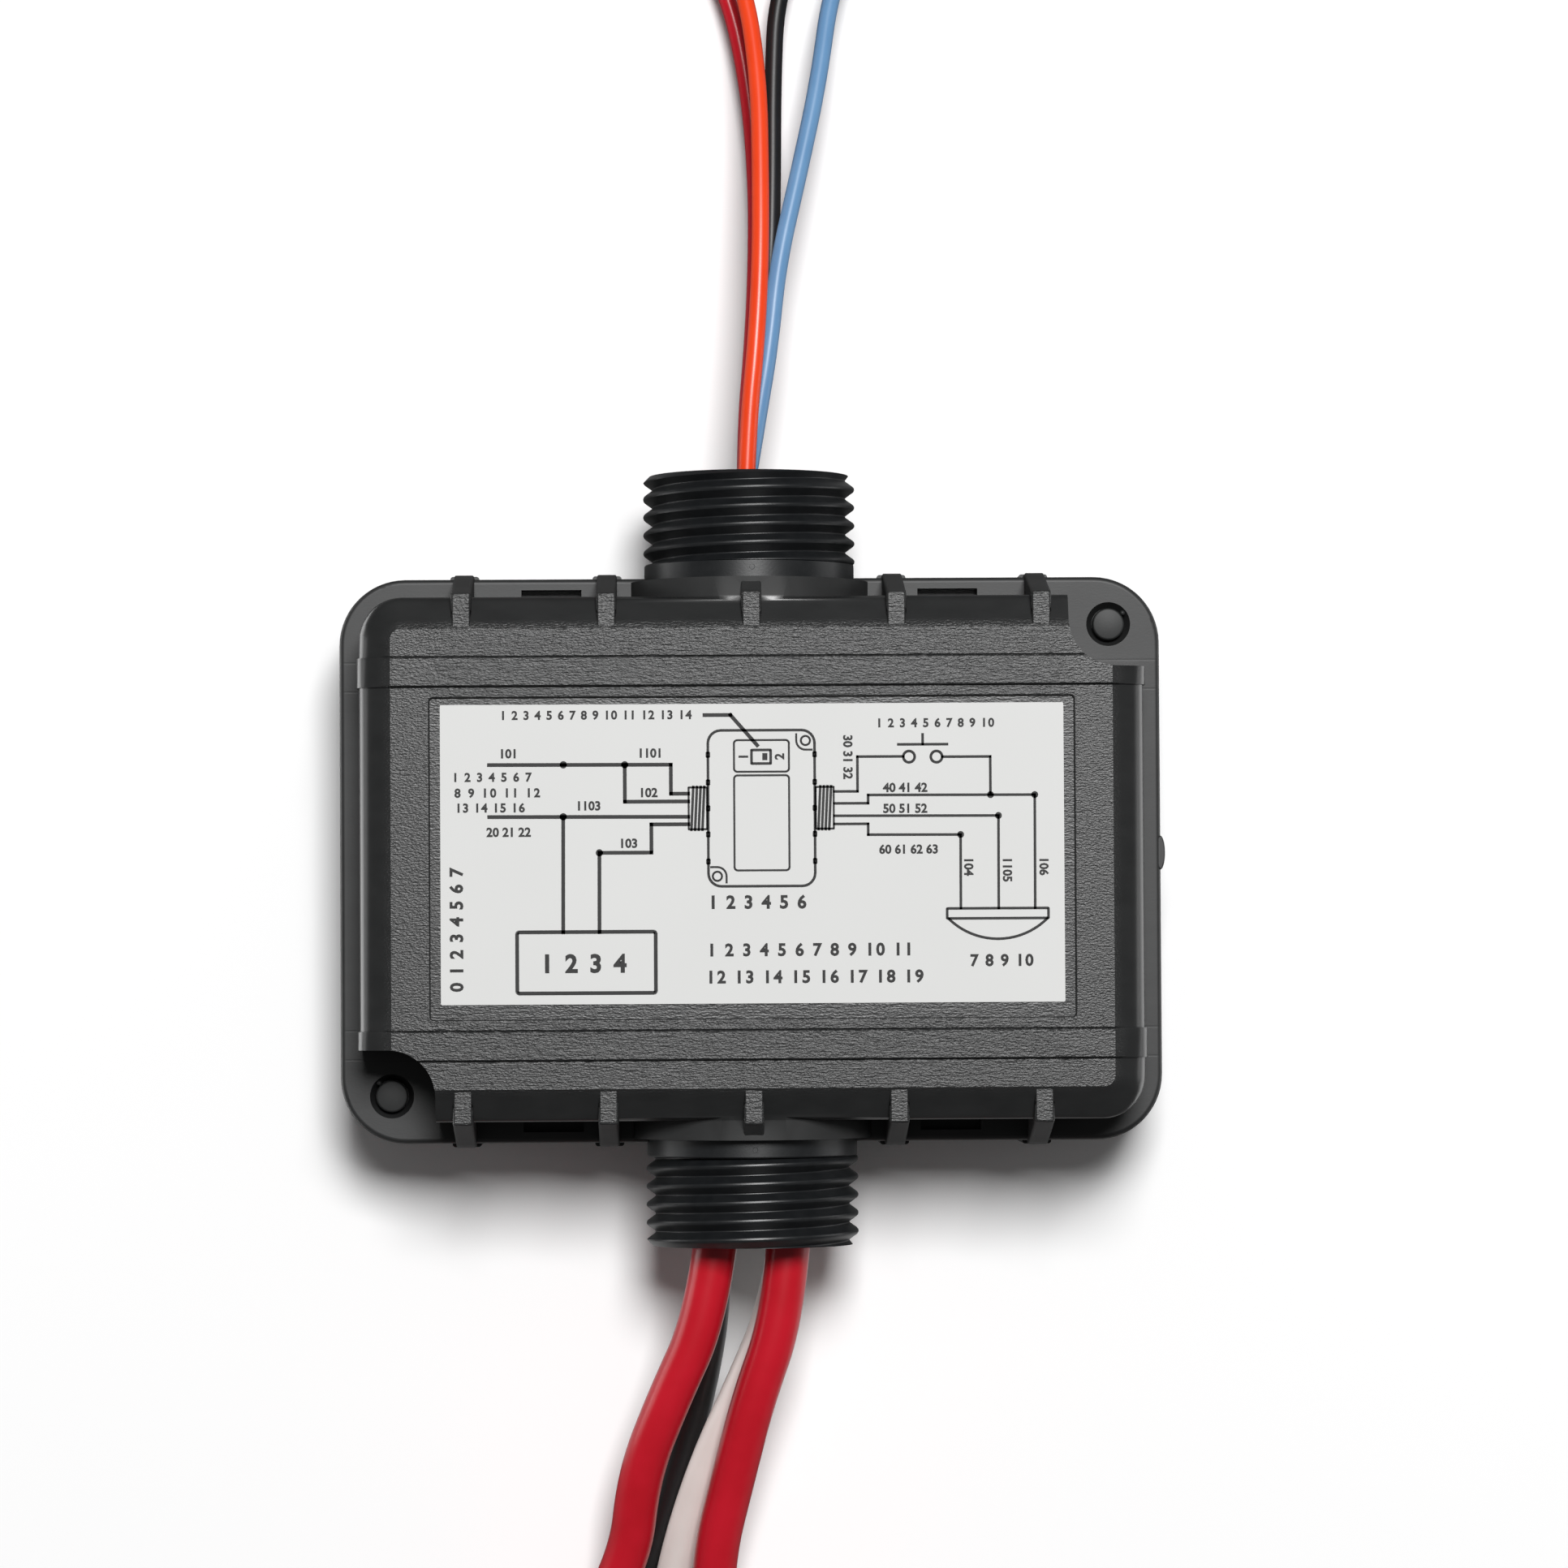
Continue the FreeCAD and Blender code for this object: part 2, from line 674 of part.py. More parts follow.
# Nipples and the plugs in their mouths
def nipple(side):
    """Moulded nipple, held by the wall between its flange and its collar."""
    flange = axle(side, nipple_flange_radius, nipple_flange_back, cavity_side)
    flange = flange.common(box((-half_length, half_length), (-half_width, half_width),
                               (floor_thickness + nipple_flange_gap,
                                ceiling_level - nipple_flange_gap)))
    neck = axle(side, neck_radius, cavity_side, half_width)
    barrel = axle(side, nipple_radius, half_width, nipple_end)
    rims = [edge for edge in barrel.Edges
            if abs(abs(edge.BoundBox.Center.y) - nipple_end) < 1e-4]
    barrel = barrel.makeChamfer(nipple_chamfer, rims)
    whole = fused([flange, neck, barrel])
    tools = [axle(side, inner_bore, cavity_side - through, nipple_end),
             axle(side, nipple_bore, plug_back, nipple_end + overcut)]
    return cut(whole, tools)


def wire_plug(side, leads):
    """Moulded plug that closes a nipple, with a hole for each lead."""
    plug = axle(side, nipple_bore - plug_clearance, plug_back, plug_face)
    for x, z, diameter in leads:
        plug = plug.cut(axle(side, diameter / 2 + lead_hole_clearance, plug_back - overcut,
                             plug_face + overcut, x, z))
    return plug


strand_diameters = {load_lead_diameter: load_strand_diameter,
                    line_lead_diameter: line_strand_diameter,
                    sensor_lead_diameter: sensor_strand_diameter}
line_leads = {
    "load_lead_red_left": (-line_lead_offset, load_level, load_lead_diameter),
    "load_lead_red_right": (line_lead_offset, load_level, load_lead_diameter),
    "line_lead_black": (-line_lead_offset, line_level, line_lead_diameter),
    "line_lead_white": (line_lead_offset, line_level, line_lead_diameter),
}
sensor_leads = {}
for order, colour in enumerate(("orange", "blue", "black", "red")):
    sensor_leads["sensor_lead_" + colour] = (
        sensor_row_x, front_depth + (1.5 - order) * sensor_row_pitch, sensor_lead_diameter)


# Inner ends of the leads
def line_tails():
    """Four thick tails that bend down to the board at two depths."""
    solids = []
    for name, (x, z, diameter) in line_leads.items():
        landing = tail_landings[diameter]
        solids += tail(name, [(x, -plug_face, z), (x, landing, z), (x, landing, board_top)], diameter)
    return Part.makeCompound(solids)


def sensor_tails():
    """Four thin tails that fan out and bend down to the board."""
    solids = []
    for order, (name, (x, z, diameter)) in enumerate(sensor_leads.items()):
        landing = (1.5 - order) * sensor_tail_pitch
        solids += tail(name, [(x, plug_face, z), (x, sensor_tail_bend, z),
                              (landing, sensor_tail_landing, z),
                              (landing, sensor_tail_landing, board_top)], diameter)
    return Part.makeCompound(solids)


def stripped_end(name, diameter):
    """Bare copper strands that go on from the end of a lead."""
    last, end = [V(*point) for point in lead_routes[name][-2:]]
    return Part.makeCylinder(strand_diameters[diameter] / 2, stripped_length, end, end - last)


# Corner pins
def corner_pins():
    """Two headed pins that hold the covers together through opposite corners."""
    solids = []
    for x, y, _ in pin_places:
        shank = upright(pin_radius, front_pocket_depth, flange_top - counterbore_depth, x, y)
        head = upright(pin_head_radius, front_pocket_depth - pin_head_height, front_pocket_depth, x, y)
        head = head.makeFillet(pin_head_edge, edges_at(head, front_pocket_depth - pin_head_height))
        dome_low = flange_top - counterbore_depth
        dome = upright(pin_dome_radius, dome_low, dome_low + pin_dome_height, x, y)
        dome = dome.makeFillet(pin_dome_edge, edges_at(dome, dome_low + pin_dome_height))
        solids.append(fused([shank, head, dome]))
    return Part.makeCompound(solids)


# Slide switch
switch_x = half_length - switch_end_inset
switch_low = floor_thickness + switch_gap
switch_inside = switch_low + switch_face
carriage_low = switch_inside + switch_gap
carriage_high = carriage_low + carriage_thickness
contact_high = carriage_high + contact_thickness + contact_foot
head_low = contact_high + switch_gap
head_high = head_low + terminal_head_height
knob_y = switch_y + switch_travel / 2
terminal_places = [switch_y - switch_travel, switch_y, switch_y + switch_travel]


def centred(x, y, length, width, low, high):
    """Box around an upright centre line."""
    return box((x - length / 2, x + length / 2), (y - width / 2, y + width / 2), (low, high))


def switch_housing():
    """Closed switch body, slotted in front for the knob and holed for the terminals."""
    shell = centred(switch_x, switch_y, switch_length, switch_width, switch_low, board_bottom)
    room = centred(switch_x, switch_y, switch_length - 2 * switch_shell,
                   switch_width - 2 * switch_shell, switch_inside, head_high)
    slot = centred(switch_x, switch_y, knob_length + 2 * slot_clearance,
                   knob_width + switch_travel + 2 * slot_clearance, switch_low - overcut,
                   switch_inside + overcut)
    holes = [upright(terminal_radius + terminal_clearance, switch_inside, board_bottom + overcut,
                     switch_x, y) for y in terminal_places]
    return cut(shell, [room, slot] + holes)


def switch_knob():
    """Ribbed thumb knob on its carriage."""
    knob = centred(switch_x, knob_y, knob_length, knob_width, knob_recess, carriage_low)
    carriage = centred(switch_x, knob_y, carriage_length, carriage_width, carriage_low, carriage_high)
    grooves = [centred(switch_x, knob_y + step * knob_groove_pitch, knob_length + overcut,
                       knob_groove, knob_recess - overcut, knob_recess + knob_groove)
               for step in (-1, 0, 1)]
    return cut(fused([knob, carriage]), grooves)


def switch_contact():
    """Bridging spring under the carriage, with a foot for each of two terminals."""
    bar = centred(switch_x, knob_y, contact_length, switch_travel + 2 * contact_foot,
                  carriage_high, carriage_high + contact_thickness)
    shapes = [bar]
    for sign in (-1, 1):
        shapes.append(upright(contact_foot, carriage_high + contact_thickness, contact_high,
                              switch_x, knob_y + sign * switch_travel / 2))
    return fused(shapes)


def switch_terminals():
    """Three rivet terminals that run up through the board."""
    solids = []
    for y in terminal_places:
        head = upright(terminal_head_radius, head_low, head_high, switch_x, y)
        pin = upright(terminal_radius, head_high, board_top + terminal_rise, switch_x, y)
        solids.append(fused([head, pin]))
    return Part.makeCompound(solids)


# Circuit board
def circuit_board():
    """Board across the housing, notched round the pin bosses."""
    board = slab(board_length, board_width, board_corner, board_bottom, board_top)
    low, high = board_bottom - overcut, board_top + overcut
    tools = [upright(boss_radius + boss_clearance, low, high, x, y) for x, y, _ in pin_places]
    for y in terminal_places:
        tools.append(upright(terminal_radius + terminal_clearance, low, high, switch_x, y))
    return cut(board, tools)


# Relay, set out from its case inwards: the coil's height is what the case leaves
relay_left = relay_end_gap - cavity_end
relay_right = relay_left + relay_length
relay_x = (relay_left + relay_right) / 2
relay_y = board_side - relay_side_gap - relay_width / 2
relay_floor = board_top + relay_base_thickness
relay_top = ceiling_level - relay_top_gap
armature_high = relay_top - relay_case_wall - contact_headroom - blade_thickness
armature_low = armature_high - armature_thickness
pole_high = armature_low - armature_gap
pole_low = pole_high - pole_thickness
bobbin_low = relay_floor + yoke_thickness + coil_clearance
bobbin_high = pole_low - coil_clearance
yoke_left = relay_left + yoke_inset
coil_x = yoke_left + coil_offset
contact_x = relay_right - contact_end_gap


def relay_parts():
    """Every piece of the power relay, by node name."""
    parts = {}
    parts["relay_base"] = slab(relay_length, relay_width, relay_corner, board_top, relay_floor,
                               relay_x, relay_y)
    case = slab(relay_length, relay_width, relay_corner, relay_floor, relay_top, relay_x, relay_y)
    room = slab(relay_length - 2 * relay_case_wall, relay_width - 2 * relay_case_wall,
                relay_room_corner, relay_floor - overcut, relay_top - relay_case_wall,
                relay_x, relay_y)
    parts["relay_case"] = case.cut(room)

    plate_right = coil_x + bobbin_radius
    foot = box((yoke_left, plate_right), (relay_y - yoke_width / 2, relay_y + yoke_width / 2),
               (relay_floor, relay_floor + yoke_thickness))
    leg = box((yoke_left, yoke_left + yoke_thickness),
              (relay_y - yoke_width / 2, relay_y + yoke_width / 2),
              (relay_floor, armature_low - coil_clearance))
    core = upright(core_radius, relay_floor, pole_high, coil_x, relay_y)
    pole = upright(pole_radius, pole_low, pole_high, coil_x, relay_y)
    parts["relay_yoke"] = fused([foot, leg, core, pole])

    bore = core_radius + coil_clearance
    barrel = upright(bore + bobbin_wall, bobbin_low, bobbin_high, coil_x, relay_y)
    ends = [upright(bobbin_radius, bobbin_low, bobbin_low + bobbin_flange, coil_x, relay_y),
            upright(bobbin_radius, bobbin_high - bobbin_flange, bobbin_high, coil_x, relay_y)]
    bobbin = fused([barrel] + ends)
    parts["relay_bobbin"] = bobbin.cut(upright(bore, bobbin_low - overcut, bobbin_high + overcut,
                                               coil_x, relay_y))
    layer = upright(winding_radius, bobbin_low + bobbin_flange, bobbin_high - bobbin_flange,
                    coil_x, relay_y)
    parts["relay_winding"] = layer.cut(upright(bore + bobbin_wall, bobbin_low, bobbin_high,
                                               coil_x, relay_y))

    parts["relay_armature"] = box((yoke_left, coil_x + armature_reach),
                                  (relay_y - yoke_width / 2, relay_y + yoke_width / 2),
                                  (armature_low, armature_high))
    blade = box((yoke_left + 2 * yoke_thickness, contact_x + contact_button_radius + blade_overhang),
                (relay_y - blade_width / 2, relay_y + blade_width / 2),
                (armature_high, armature_high + blade_thickness))
    button = upright(contact_button_radius, armature_high - contact_button_height, armature_high,
                     contact_x, relay_y)
    parts["relay_moving_contact"] = fused([blade, button])

    fixed_high = armature_high - contact_button_height - contact_gap
    arm_high = fixed_high - contact_button_height
    arm_low = arm_high - post_blade_thickness
    post_x = contact_x + 2 * contact_button_radius
    rivet = upright(contact_button_radius, arm_high, fixed_high, contact_x, relay_y)
    arm = box((contact_x - contact_button_radius, post_x),
              (relay_y - blade_width / 2, relay_y + blade_width / 2), (arm_low, arm_high))
    post = box((post_x - post_blade_thickness, post_x),
               (relay_y - blade_width / 2, relay_y + blade_width / 2), (relay_floor, arm_high))
    parts["relay_fixed_contact"] = fused([rivet, arm, post])
    return parts


# Transformer
def transformer_parts():
    """Laminated core, bobbin and winding, with the coil lying across the housing."""
    x = cavity_end - transformer_end_gap - core_length / 2
    y = board_side - transformer_side_gap - core_width / 2
    top = ceiling_level - transformer_top_gap
    middle = (board_top + top) / 2
    low, high = middle - core_stack / 2, middle + core_stack / 2
    centre_leg = 2 * core_leg
    window = core_leg
    core = centred(x, y, core_length, core_width, low, high)
    windows = [centred(x + sign * (centre_leg + window) / 2, y, window, core_width - 2 * core_leg,
                       low - overcut, high + overcut) for sign in (-1, 1)]
    inner = centre_leg / 2 + coil_clearance
    inner_height = core_stack / 2 + coil_clearance
    outer = inner + transformer_bobbin_wall
    outer_height = inner_height + transformer_bobbin_wall
    length = core_width - 2 * core_leg - 2 * coil_clearance
    flange_half = centre_leg / 2 + window - 2 * coil_clearance
    inset = transformer_winding_inset

    def sleeve(half_x, half_z, half_y):
        return box((x - half_x, x + half_x), (y - half_y, y + half_y), (middle - half_z, middle + half_z))

    shapes = [sleeve(outer, outer_height, length / 2)]
    for sign in (-1, 1):
        edge = y + sign * length / 2
        inside = edge - sign * transformer_bobbin_flange
        shapes.append(box((x - flange_half, x + flange_half), (min(edge, inside), max(edge, inside)),
                          (board_top, top)))
    bobbin = fused(shapes).cut(sleeve(inner, inner_height, length))
    winding = sleeve(flange_half - inset, top - middle - inset, length / 2 - transformer_bobbin_flange)
    long_edges = [edge for edge in winding.Edges
                  if edge.BoundBox.YLength > 1 and edge.BoundBox.XLength < 0.01]
    winding = winding.makeFillet(transformer_winding_corner, long_edges)
    winding = winding.cut(sleeve(outer, outer_height, length))
    return {"transformer_core": cut(core, windows), "transformer_bobbin": bobbin,
            "transformer_winding": winding}


# Smaller parts on the board
def can(radius, height, place):
    """Round capacitor can with a rolled groove near its foot."""
    x, y = place
    body = upright(radius, board_top, board_top + height, x, y)
    body = body.makeFillet(can_edge, edges_at(body, board_top + height))
    groove = Part.makeTorus(radius + can_groove_offset, can_groove_radius,
                            V(x, y, board_top + can_groove_level))
    return body.cut(groove)


def board_place(side, inset):
    """Place on the board, inset from one end of the cavity and from the line side's edge."""
    return side * (cavity_end - inset[0]), inset[1] - board_side


def small_parts():
    """Capacitors, varistor, fuse, rectifier and regulator, by node name."""
    parts = {}
    parts["bulk_capacitor"] = can(bulk_radius, bulk_height, board_place(1, bulk_inset))
    parts["output_capacitor"] = can(output_radius, output_height, board_place(1, output_inset))

    x, y = board_place(-1, film_inset)
    film = centred(x, y, film_size[0], film_size[1], board_top, board_top + film_size[2])
    parts["line_filter_capacitor"] = film.makeFillet(film_edge, edges_at(film, board_top + film_size[2]))

    # The varistor and the fuse share the row between the film capacitor and the relay.
    row_y = (y + film_size[1] / 2 + relay_y - relay_width / 2) / 2
    x = varistor_inset - cavity_end
    level = board_top + varistor_lift + varistor_radius
    disc = Part.makeCylinder(varistor_radius, varistor_thickness,
                             V(x, row_y - varistor_thickness / 2, level), V(0, 1, 0))
    disc = disc.makeFillet(varistor_edge, [edge for edge in disc.Edges if edge.BoundBox.XLength > 1
                                           and edge.BoundBox.YLength < 0.01])
    legs = [upright(varistor_leg_radius, board_top, level, x + sign * varistor_leg_offset, row_y)
            for sign in (-1, 1)]
    parts["varistor"] = fused([disc] + legs)

    x, y = fuse_inset - cavity_end, row_y
    level = board_top + fuse_cap_radius
    glass = Part.makeCylinder(fuse_radius, fuse_length, V(x - fuse_length / 2, y, level), V(1, 0, 0))
    caps = [Part.makeCylinder(fuse_cap_radius, fuse_cap_length, V(start, y, level), V(1, 0, 0))
            for start in (x - fuse_length / 2, x + fuse_length / 2 - fuse_cap_length)]
    parts["fuse"] = fused([glass] + caps)

    bridge = centred(*bridge_place, bridge_size[0], bridge_size[1], board_top,
                     board_top + bridge_size[2])
    parts["bridge_rectifier"] = bridge.makeFillet(bridge_edge,
                                                  edges_at(bridge, board_top + bridge_size[2]))

    x, y = board_place(1, regulator_inset)
    low = board_top + regulator_lift
    case = upright(regulator_radius, low, low + regulator_height, x, y)
    case = case.cut(box((x - through, x + through), (y - through, y - regulator_flat),
                        (low - overcut, low + regulator_height + overcut)))
    legs = [centred(x + shift * regulator_pitch, y, regulator_leg, regulator_leg, board_top, low)
            for shift in (-1, 0, 1)]
    parts["regulator"] = fused([case] + legs)
    return parts


# All nodes, written one file each
def build():
    """Every node of the power pack."""
    nodes = {
        "back_cover": back_cover(),
        "front_cover": front_cover(),
        "line_nipple": nipple(-1),
        "sensor_nipple": nipple(1),
        "line_wire_plug": wire_plug(-1, list(line_leads.values())),
        "sensor_wire_plug": wire_plug(1, list(sensor_leads.values())),
        "wiring_label": slab(label_length, label_width, label_corner, face_level - recess_depth,
                             face_level - recess_depth + label_thickness, 0.0, label_shift),
        "corner_pins": corner_pins(),
        "circuit_board": circuit_board(),
        "switch_housing": switch_housing(),
        "switch_knob": switch_knob(),
        "switch_contact": switch_contact(),
        "switch_terminals": switch_terminals(),
        "line_lead_tails": line_tails(),
        "sensor_lead_tails": sensor_tails(),
    }
    nodes.update(relay_parts())
    nodes.update(transformer_parts())
    nodes.update(small_parts())
    for name, (_, _, diameter) in {**line_leads, **sensor_leads}.items():
        nodes[name] = tube(name, lead_routes[name], diameter)
        nodes[name + "_end"] = stripped_end(name, diameter)
    return nodes


os.makedirs("parts", exist_ok=True)
for node, shape in build().items():
    print(node, "solids", len(shape.Solids), "valid", shape.isValid(), "volume", round(shape.Volume, 2))
    shape.exportStep("parts/" + node + ".step")
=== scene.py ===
# %% [markdown]
# Occupancy sensor power pack, seen from its label side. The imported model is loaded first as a
# fixed frame: every piece below is made in metres in that frame, so nothing is fitted by eye.
# A cell starts with what its piece is on the real object, how it could be made, and why this way.
# %% Load the frame
import json
import math

import bmesh
import bpy
from mathutils import Matrix, Vector


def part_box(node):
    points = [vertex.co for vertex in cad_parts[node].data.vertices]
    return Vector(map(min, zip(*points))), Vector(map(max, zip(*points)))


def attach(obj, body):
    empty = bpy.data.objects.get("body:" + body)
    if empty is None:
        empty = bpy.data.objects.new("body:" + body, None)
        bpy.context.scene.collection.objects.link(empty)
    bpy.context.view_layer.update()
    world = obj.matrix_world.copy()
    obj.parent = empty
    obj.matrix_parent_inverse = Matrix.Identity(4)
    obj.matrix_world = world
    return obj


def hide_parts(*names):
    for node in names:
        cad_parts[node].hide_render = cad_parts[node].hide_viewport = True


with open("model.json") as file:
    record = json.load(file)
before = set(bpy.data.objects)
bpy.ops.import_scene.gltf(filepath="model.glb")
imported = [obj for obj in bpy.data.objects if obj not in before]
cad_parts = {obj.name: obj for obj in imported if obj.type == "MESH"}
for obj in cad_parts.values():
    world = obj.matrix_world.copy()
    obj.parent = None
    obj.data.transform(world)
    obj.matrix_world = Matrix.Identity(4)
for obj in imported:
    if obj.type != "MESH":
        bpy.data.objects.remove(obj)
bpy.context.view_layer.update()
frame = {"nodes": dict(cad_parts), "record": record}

mm = 0.001

# %% [markdown]
# The camera looks straight down at the label, with a lean of about two degrees towards one corner.
# It could be placed with Euler angles, but the lean was measured as the direction of the label's
# normal, so its three axes are built from that direction and from the roll.
# %% Camera
look_at = Vector((3.11, 7.19, 27.0)) * mm
camera_distance = 600 * mm
lean_x = -0.02064
lean_y = -0.0310
camera_roll = 0.00581
photo_side = 1932
pixels_per_mm = 12.563
sensor_width = 36.0


def add_object(name, data):
    """Object for finished data, linked to the scene at the origin."""
    thing = bpy.data.objects.new(name, data)
    bpy.context.collection.objects.link(thing)
    return thing


away = Vector((math.sin(lean_x), math.sin(lean_y), 1.0)).normalized()
level_right = Vector((0, 1, 0)).cross(away).normalized()
level_up = away.cross(level_right)
right = level_right * math.cos(camera_roll) - level_up * math.sin(camera_roll)
up = level_right * math.sin(camera_roll) + level_up * math.cos(camera_roll)

camera_data = bpy.data.cameras.new("camera")
camera_data.sensor_width = sensor_width
camera_data.lens = pixels_per_mm / mm * camera_distance / photo_side * sensor_width
camera = add_object("camera", camera_data)
camera.matrix_world = Matrix((
    (right.x, up.x, away.x, look_at.x + away.x * camera_distance),
    (right.y, up.y, away.y, look_at.y + away.y * camera_distance),
    (right.z, up.z, away.z, look_at.z + away.z * camera_distance),
    (0, 0, 0, 1)))
bpy.context.scene.camera = camera
print("lens", round(camera_data.lens, 2), "mm")

# %% [markdown]
# The leads are stiff single wires: four thick ones for the mains and the load, and four thin ones
# for the sensor. A lead could be a mesh swept along sampled points, but a NURBS curve through a few
# chosen points bends as evenly as real insulation does. The order is set after the points are
# added, or the curve would fall back to straight runs. The thickness is each point's own radius,
# because the curve's box is measured with it. Each lead leaves the plug in its nipple, sinks to the
# table and lies there in a loose bend.
# %% Lead routes
load_lead_diameter = 4.4 * mm
line_lead_diameter = 3.5 * mm
sensor_lead_diameter = 1.75 * mm
lead_routes = {
    "load_lead_red_left": ([
        (-0.0036, -0.03695, 0.0162), (-0.0047, -0.0455, 0.0159), (-0.0086, -0.054, 0.0144),
        (-0.0115, -0.0615, 0.012), (-0.0125, -0.0705, 0.009), (-0.0185, -0.0805, 0.0058),
        (-0.026, -0.09, 0.0034), (-0.033, -0.101, 0.0024), (-0.036, -0.1145, 0.0023),
        (-0.032, -0.1275, 0.0023), (-0.023, -0.1375, 0.0023), (-0.0125, -0.1455, 0.0023),
        (-0.003, -0.1535, 0.0023)],
        load_lead_diameter),
    "load_lead_red_right": ([
        (0.0036, -0.03695, 0.0162), (0.0029, -0.0455, 0.0159), (-0.0001, -0.054, 0.0144),
        (-0.002, -0.0615, 0.0122), (-0.0042, -0.0705, 0.0096), (-0.0041, -0.0815, 0.0062),
        (-0.0005, -0.093, 0.0034), (0.007, -0.103, 0.0024), (0.0175, -0.11, 0.0023),
        (0.0275, -0.118, 0.0023), (0.034, -0.1295, 0.0023), (0.036, -0.1425, 0.0023),
        (0.0352, -0.152, 0.0023)],
        load_lead_diameter),
    "line_lead_black": ([
        (-0.0036, -0.03695, 0.0112), (-0.0039, -0.0445, 0.0103), (-0.0051, -0.052, 0.0073),
        (-0.0071, -0.06, 0.0043), (-0.0099, -0.0695, 0.0023), (-0.014, -0.0805, 0.0018),
        (-0.02, -0.0915, 0.0018), (-0.0255, -0.103, 0.0018), (-0.0265, -0.1155, 0.0018),
        (-0.0205, -0.127, 0.0018), (-0.0105, -0.135, 0.0018), (0.0005, -0.1415, 0.0018),
        (0.01, -0.1495, 0.0018)],
        line_lead_diameter),
    "line_lead_white": ([
        (0.0036, -0.03695, 0.0112), (0.0024, -0.0445, 0.0109), (-0.001, -0.0525, 0.0098),
        (-0.0047, -0.0605, 0.0081), (-0.0078, -0.07, 0.0059), (-0.0098, -0.081, 0.0034),
        (-0.012, -0.093, 0.0019), (-0.012, -0.106, 0.0018), (-0.0055, -0.117, 0.0018),
        (0.005, -0.1245, 0.0018), (0.016, -0.131, 0.0018), (0.024, -0.141, 0.0018),
        (0.026, -0.153, 0.0018)],
        line_lead_diameter),
    "sensor_lead_orange": ([
        (-0.0003, 0.03695, 0.016675), (0.0, 0.044, 0.0166), (0.0008, 0.0515, 0.0162),
        (0.0013, 0.06, 0.0149), (0.0014, 0.069, 0.013), (0.0013, 0.079, 0.0104),
        (0.0, 0.089, 0.0074), (-0.004, 0.099, 0.0044), (-0.0105, 0.108, 0.0022),
        (-0.018, 0.1165, 0.0011), (-0.0225, 0.1275, 0.001), (-0.02, 0.139, 0.001),
        (-0.012, 0.147, 0.001), (-0.0018, 0.1512, 0.001)],
        sensor_lead_diameter),
    "sensor_lead_blue": ([
        (-0.0003, 0.03695, 0.014625), (0.0009, 0.044, 0.01455), (0.0022, 0.0515, 0.0142),
        (0.0031, 0.06, 0.013), (0.0052, 0.069, 0.0112), (0.0074, 0.079, 0.0088),
        (0.0088, 0.089, 0.006), (0.0125, 0.0985, 0.0034), (0.0195, 0.1065, 0.0016),
        (0.0285, 0.1135, 0.001), (0.035, 0.124, 0.001), (0.0345, 0.137, 0.001), (0.0265, 0.147, 0.001),
        (0.017, 0.154, 0.001)],
        sensor_lead_diameter),
    "sensor_lead_black": ([
        (-0.0003, 0.03695, 0.012575), (0.0007, 0.044, 0.0123), (0.0019, 0.0515, 0.0114),
        (0.0024, 0.06, 0.0099), (0.0027, 0.069, 0.0082), (0.0028, 0.079, 0.0062),
        (0.0033, 0.089, 0.0042), (0.0075, 0.099, 0.0023), (0.0135, 0.108, 0.0012),
        (0.0215, 0.117, 0.001), (0.027, 0.1285, 0.001), (0.024, 0.1405, 0.001), (0.0135, 0.145, 0.001),
        (0.0023, 0.1438, 0.001)],
        sensor_lead_diameter),
    "sensor_lead_red": ([
        (-0.0003, 0.03695, 0.010525), (-0.0002, 0.044, 0.0102), (0.0005, 0.0515, 0.0091),
        (0.001, 0.06, 0.0076), (0.0011, 0.069, 0.006), (0.0004, 0.079, 0.0043),
        (-0.0016, 0.089, 0.0028), (-0.0065, 0.0985, 0.0016), (-0.0145, 0.106, 0.001),
        (-0.0245, 0.112, 0.001), (-0.0335, 0.1205, 0.001), (-0.036, 0.1325, 0.001),
        (-0.031, 0.1445, 0.001), (-0.021, 0.152, 0.001)],
        sensor_lead_diameter),
}
print("leads", len(lead_routes))

# %% Leads
def lead_curve(name, points, diameter):
    """Round lead on one smooth open curve, with closed ends."""
    data = bpy.data.curves.new(name, "CURVE")
    data.dimensions = "3D"
    data.bevel_depth = 1.0
    data.bevel_resolution = 7
    data.resolution_u = 10
    data.use_fill_caps = True
    spline = data.splines.new("NURBS")
    spline.points.add(len(points) - 1)
    for point, place in zip(spline.points, points):
        point.co = (*place, 1.0)
        point.radius = diameter / 2
    spline.order_u = 3
    spline.use_endpoint_u = True
    return add_object(name, data)


def mesh_of(data):
    """Mesh that a curve or a text makes."""
    holder = bpy.data.objects.new("holder", data)
    mesh = bpy.data.meshes.new_from_object(holder)
    bpy.data.objects.remove(holder)
    return mesh


def centre_line(lead):
    """Points along the middle of a lead, from its own curve with no thickness."""
    thin = lead.data.copy()
    thin.bevel_depth = 0.0
    line = mesh_of(thin)
    points = [vertex.co.copy() for vertex in line.vertices]
    bpy.data.meshes.remove(line)
    bpy.data.curves.remove(thin)
    return points


leads = {}
for lead_name, (route, lead_diameter) in lead_routes.items():
    leads[lead_name] = lead_curve(lead_name + "_insulation", route, lead_diameter)
    line = centre_line(leads[lead_name])

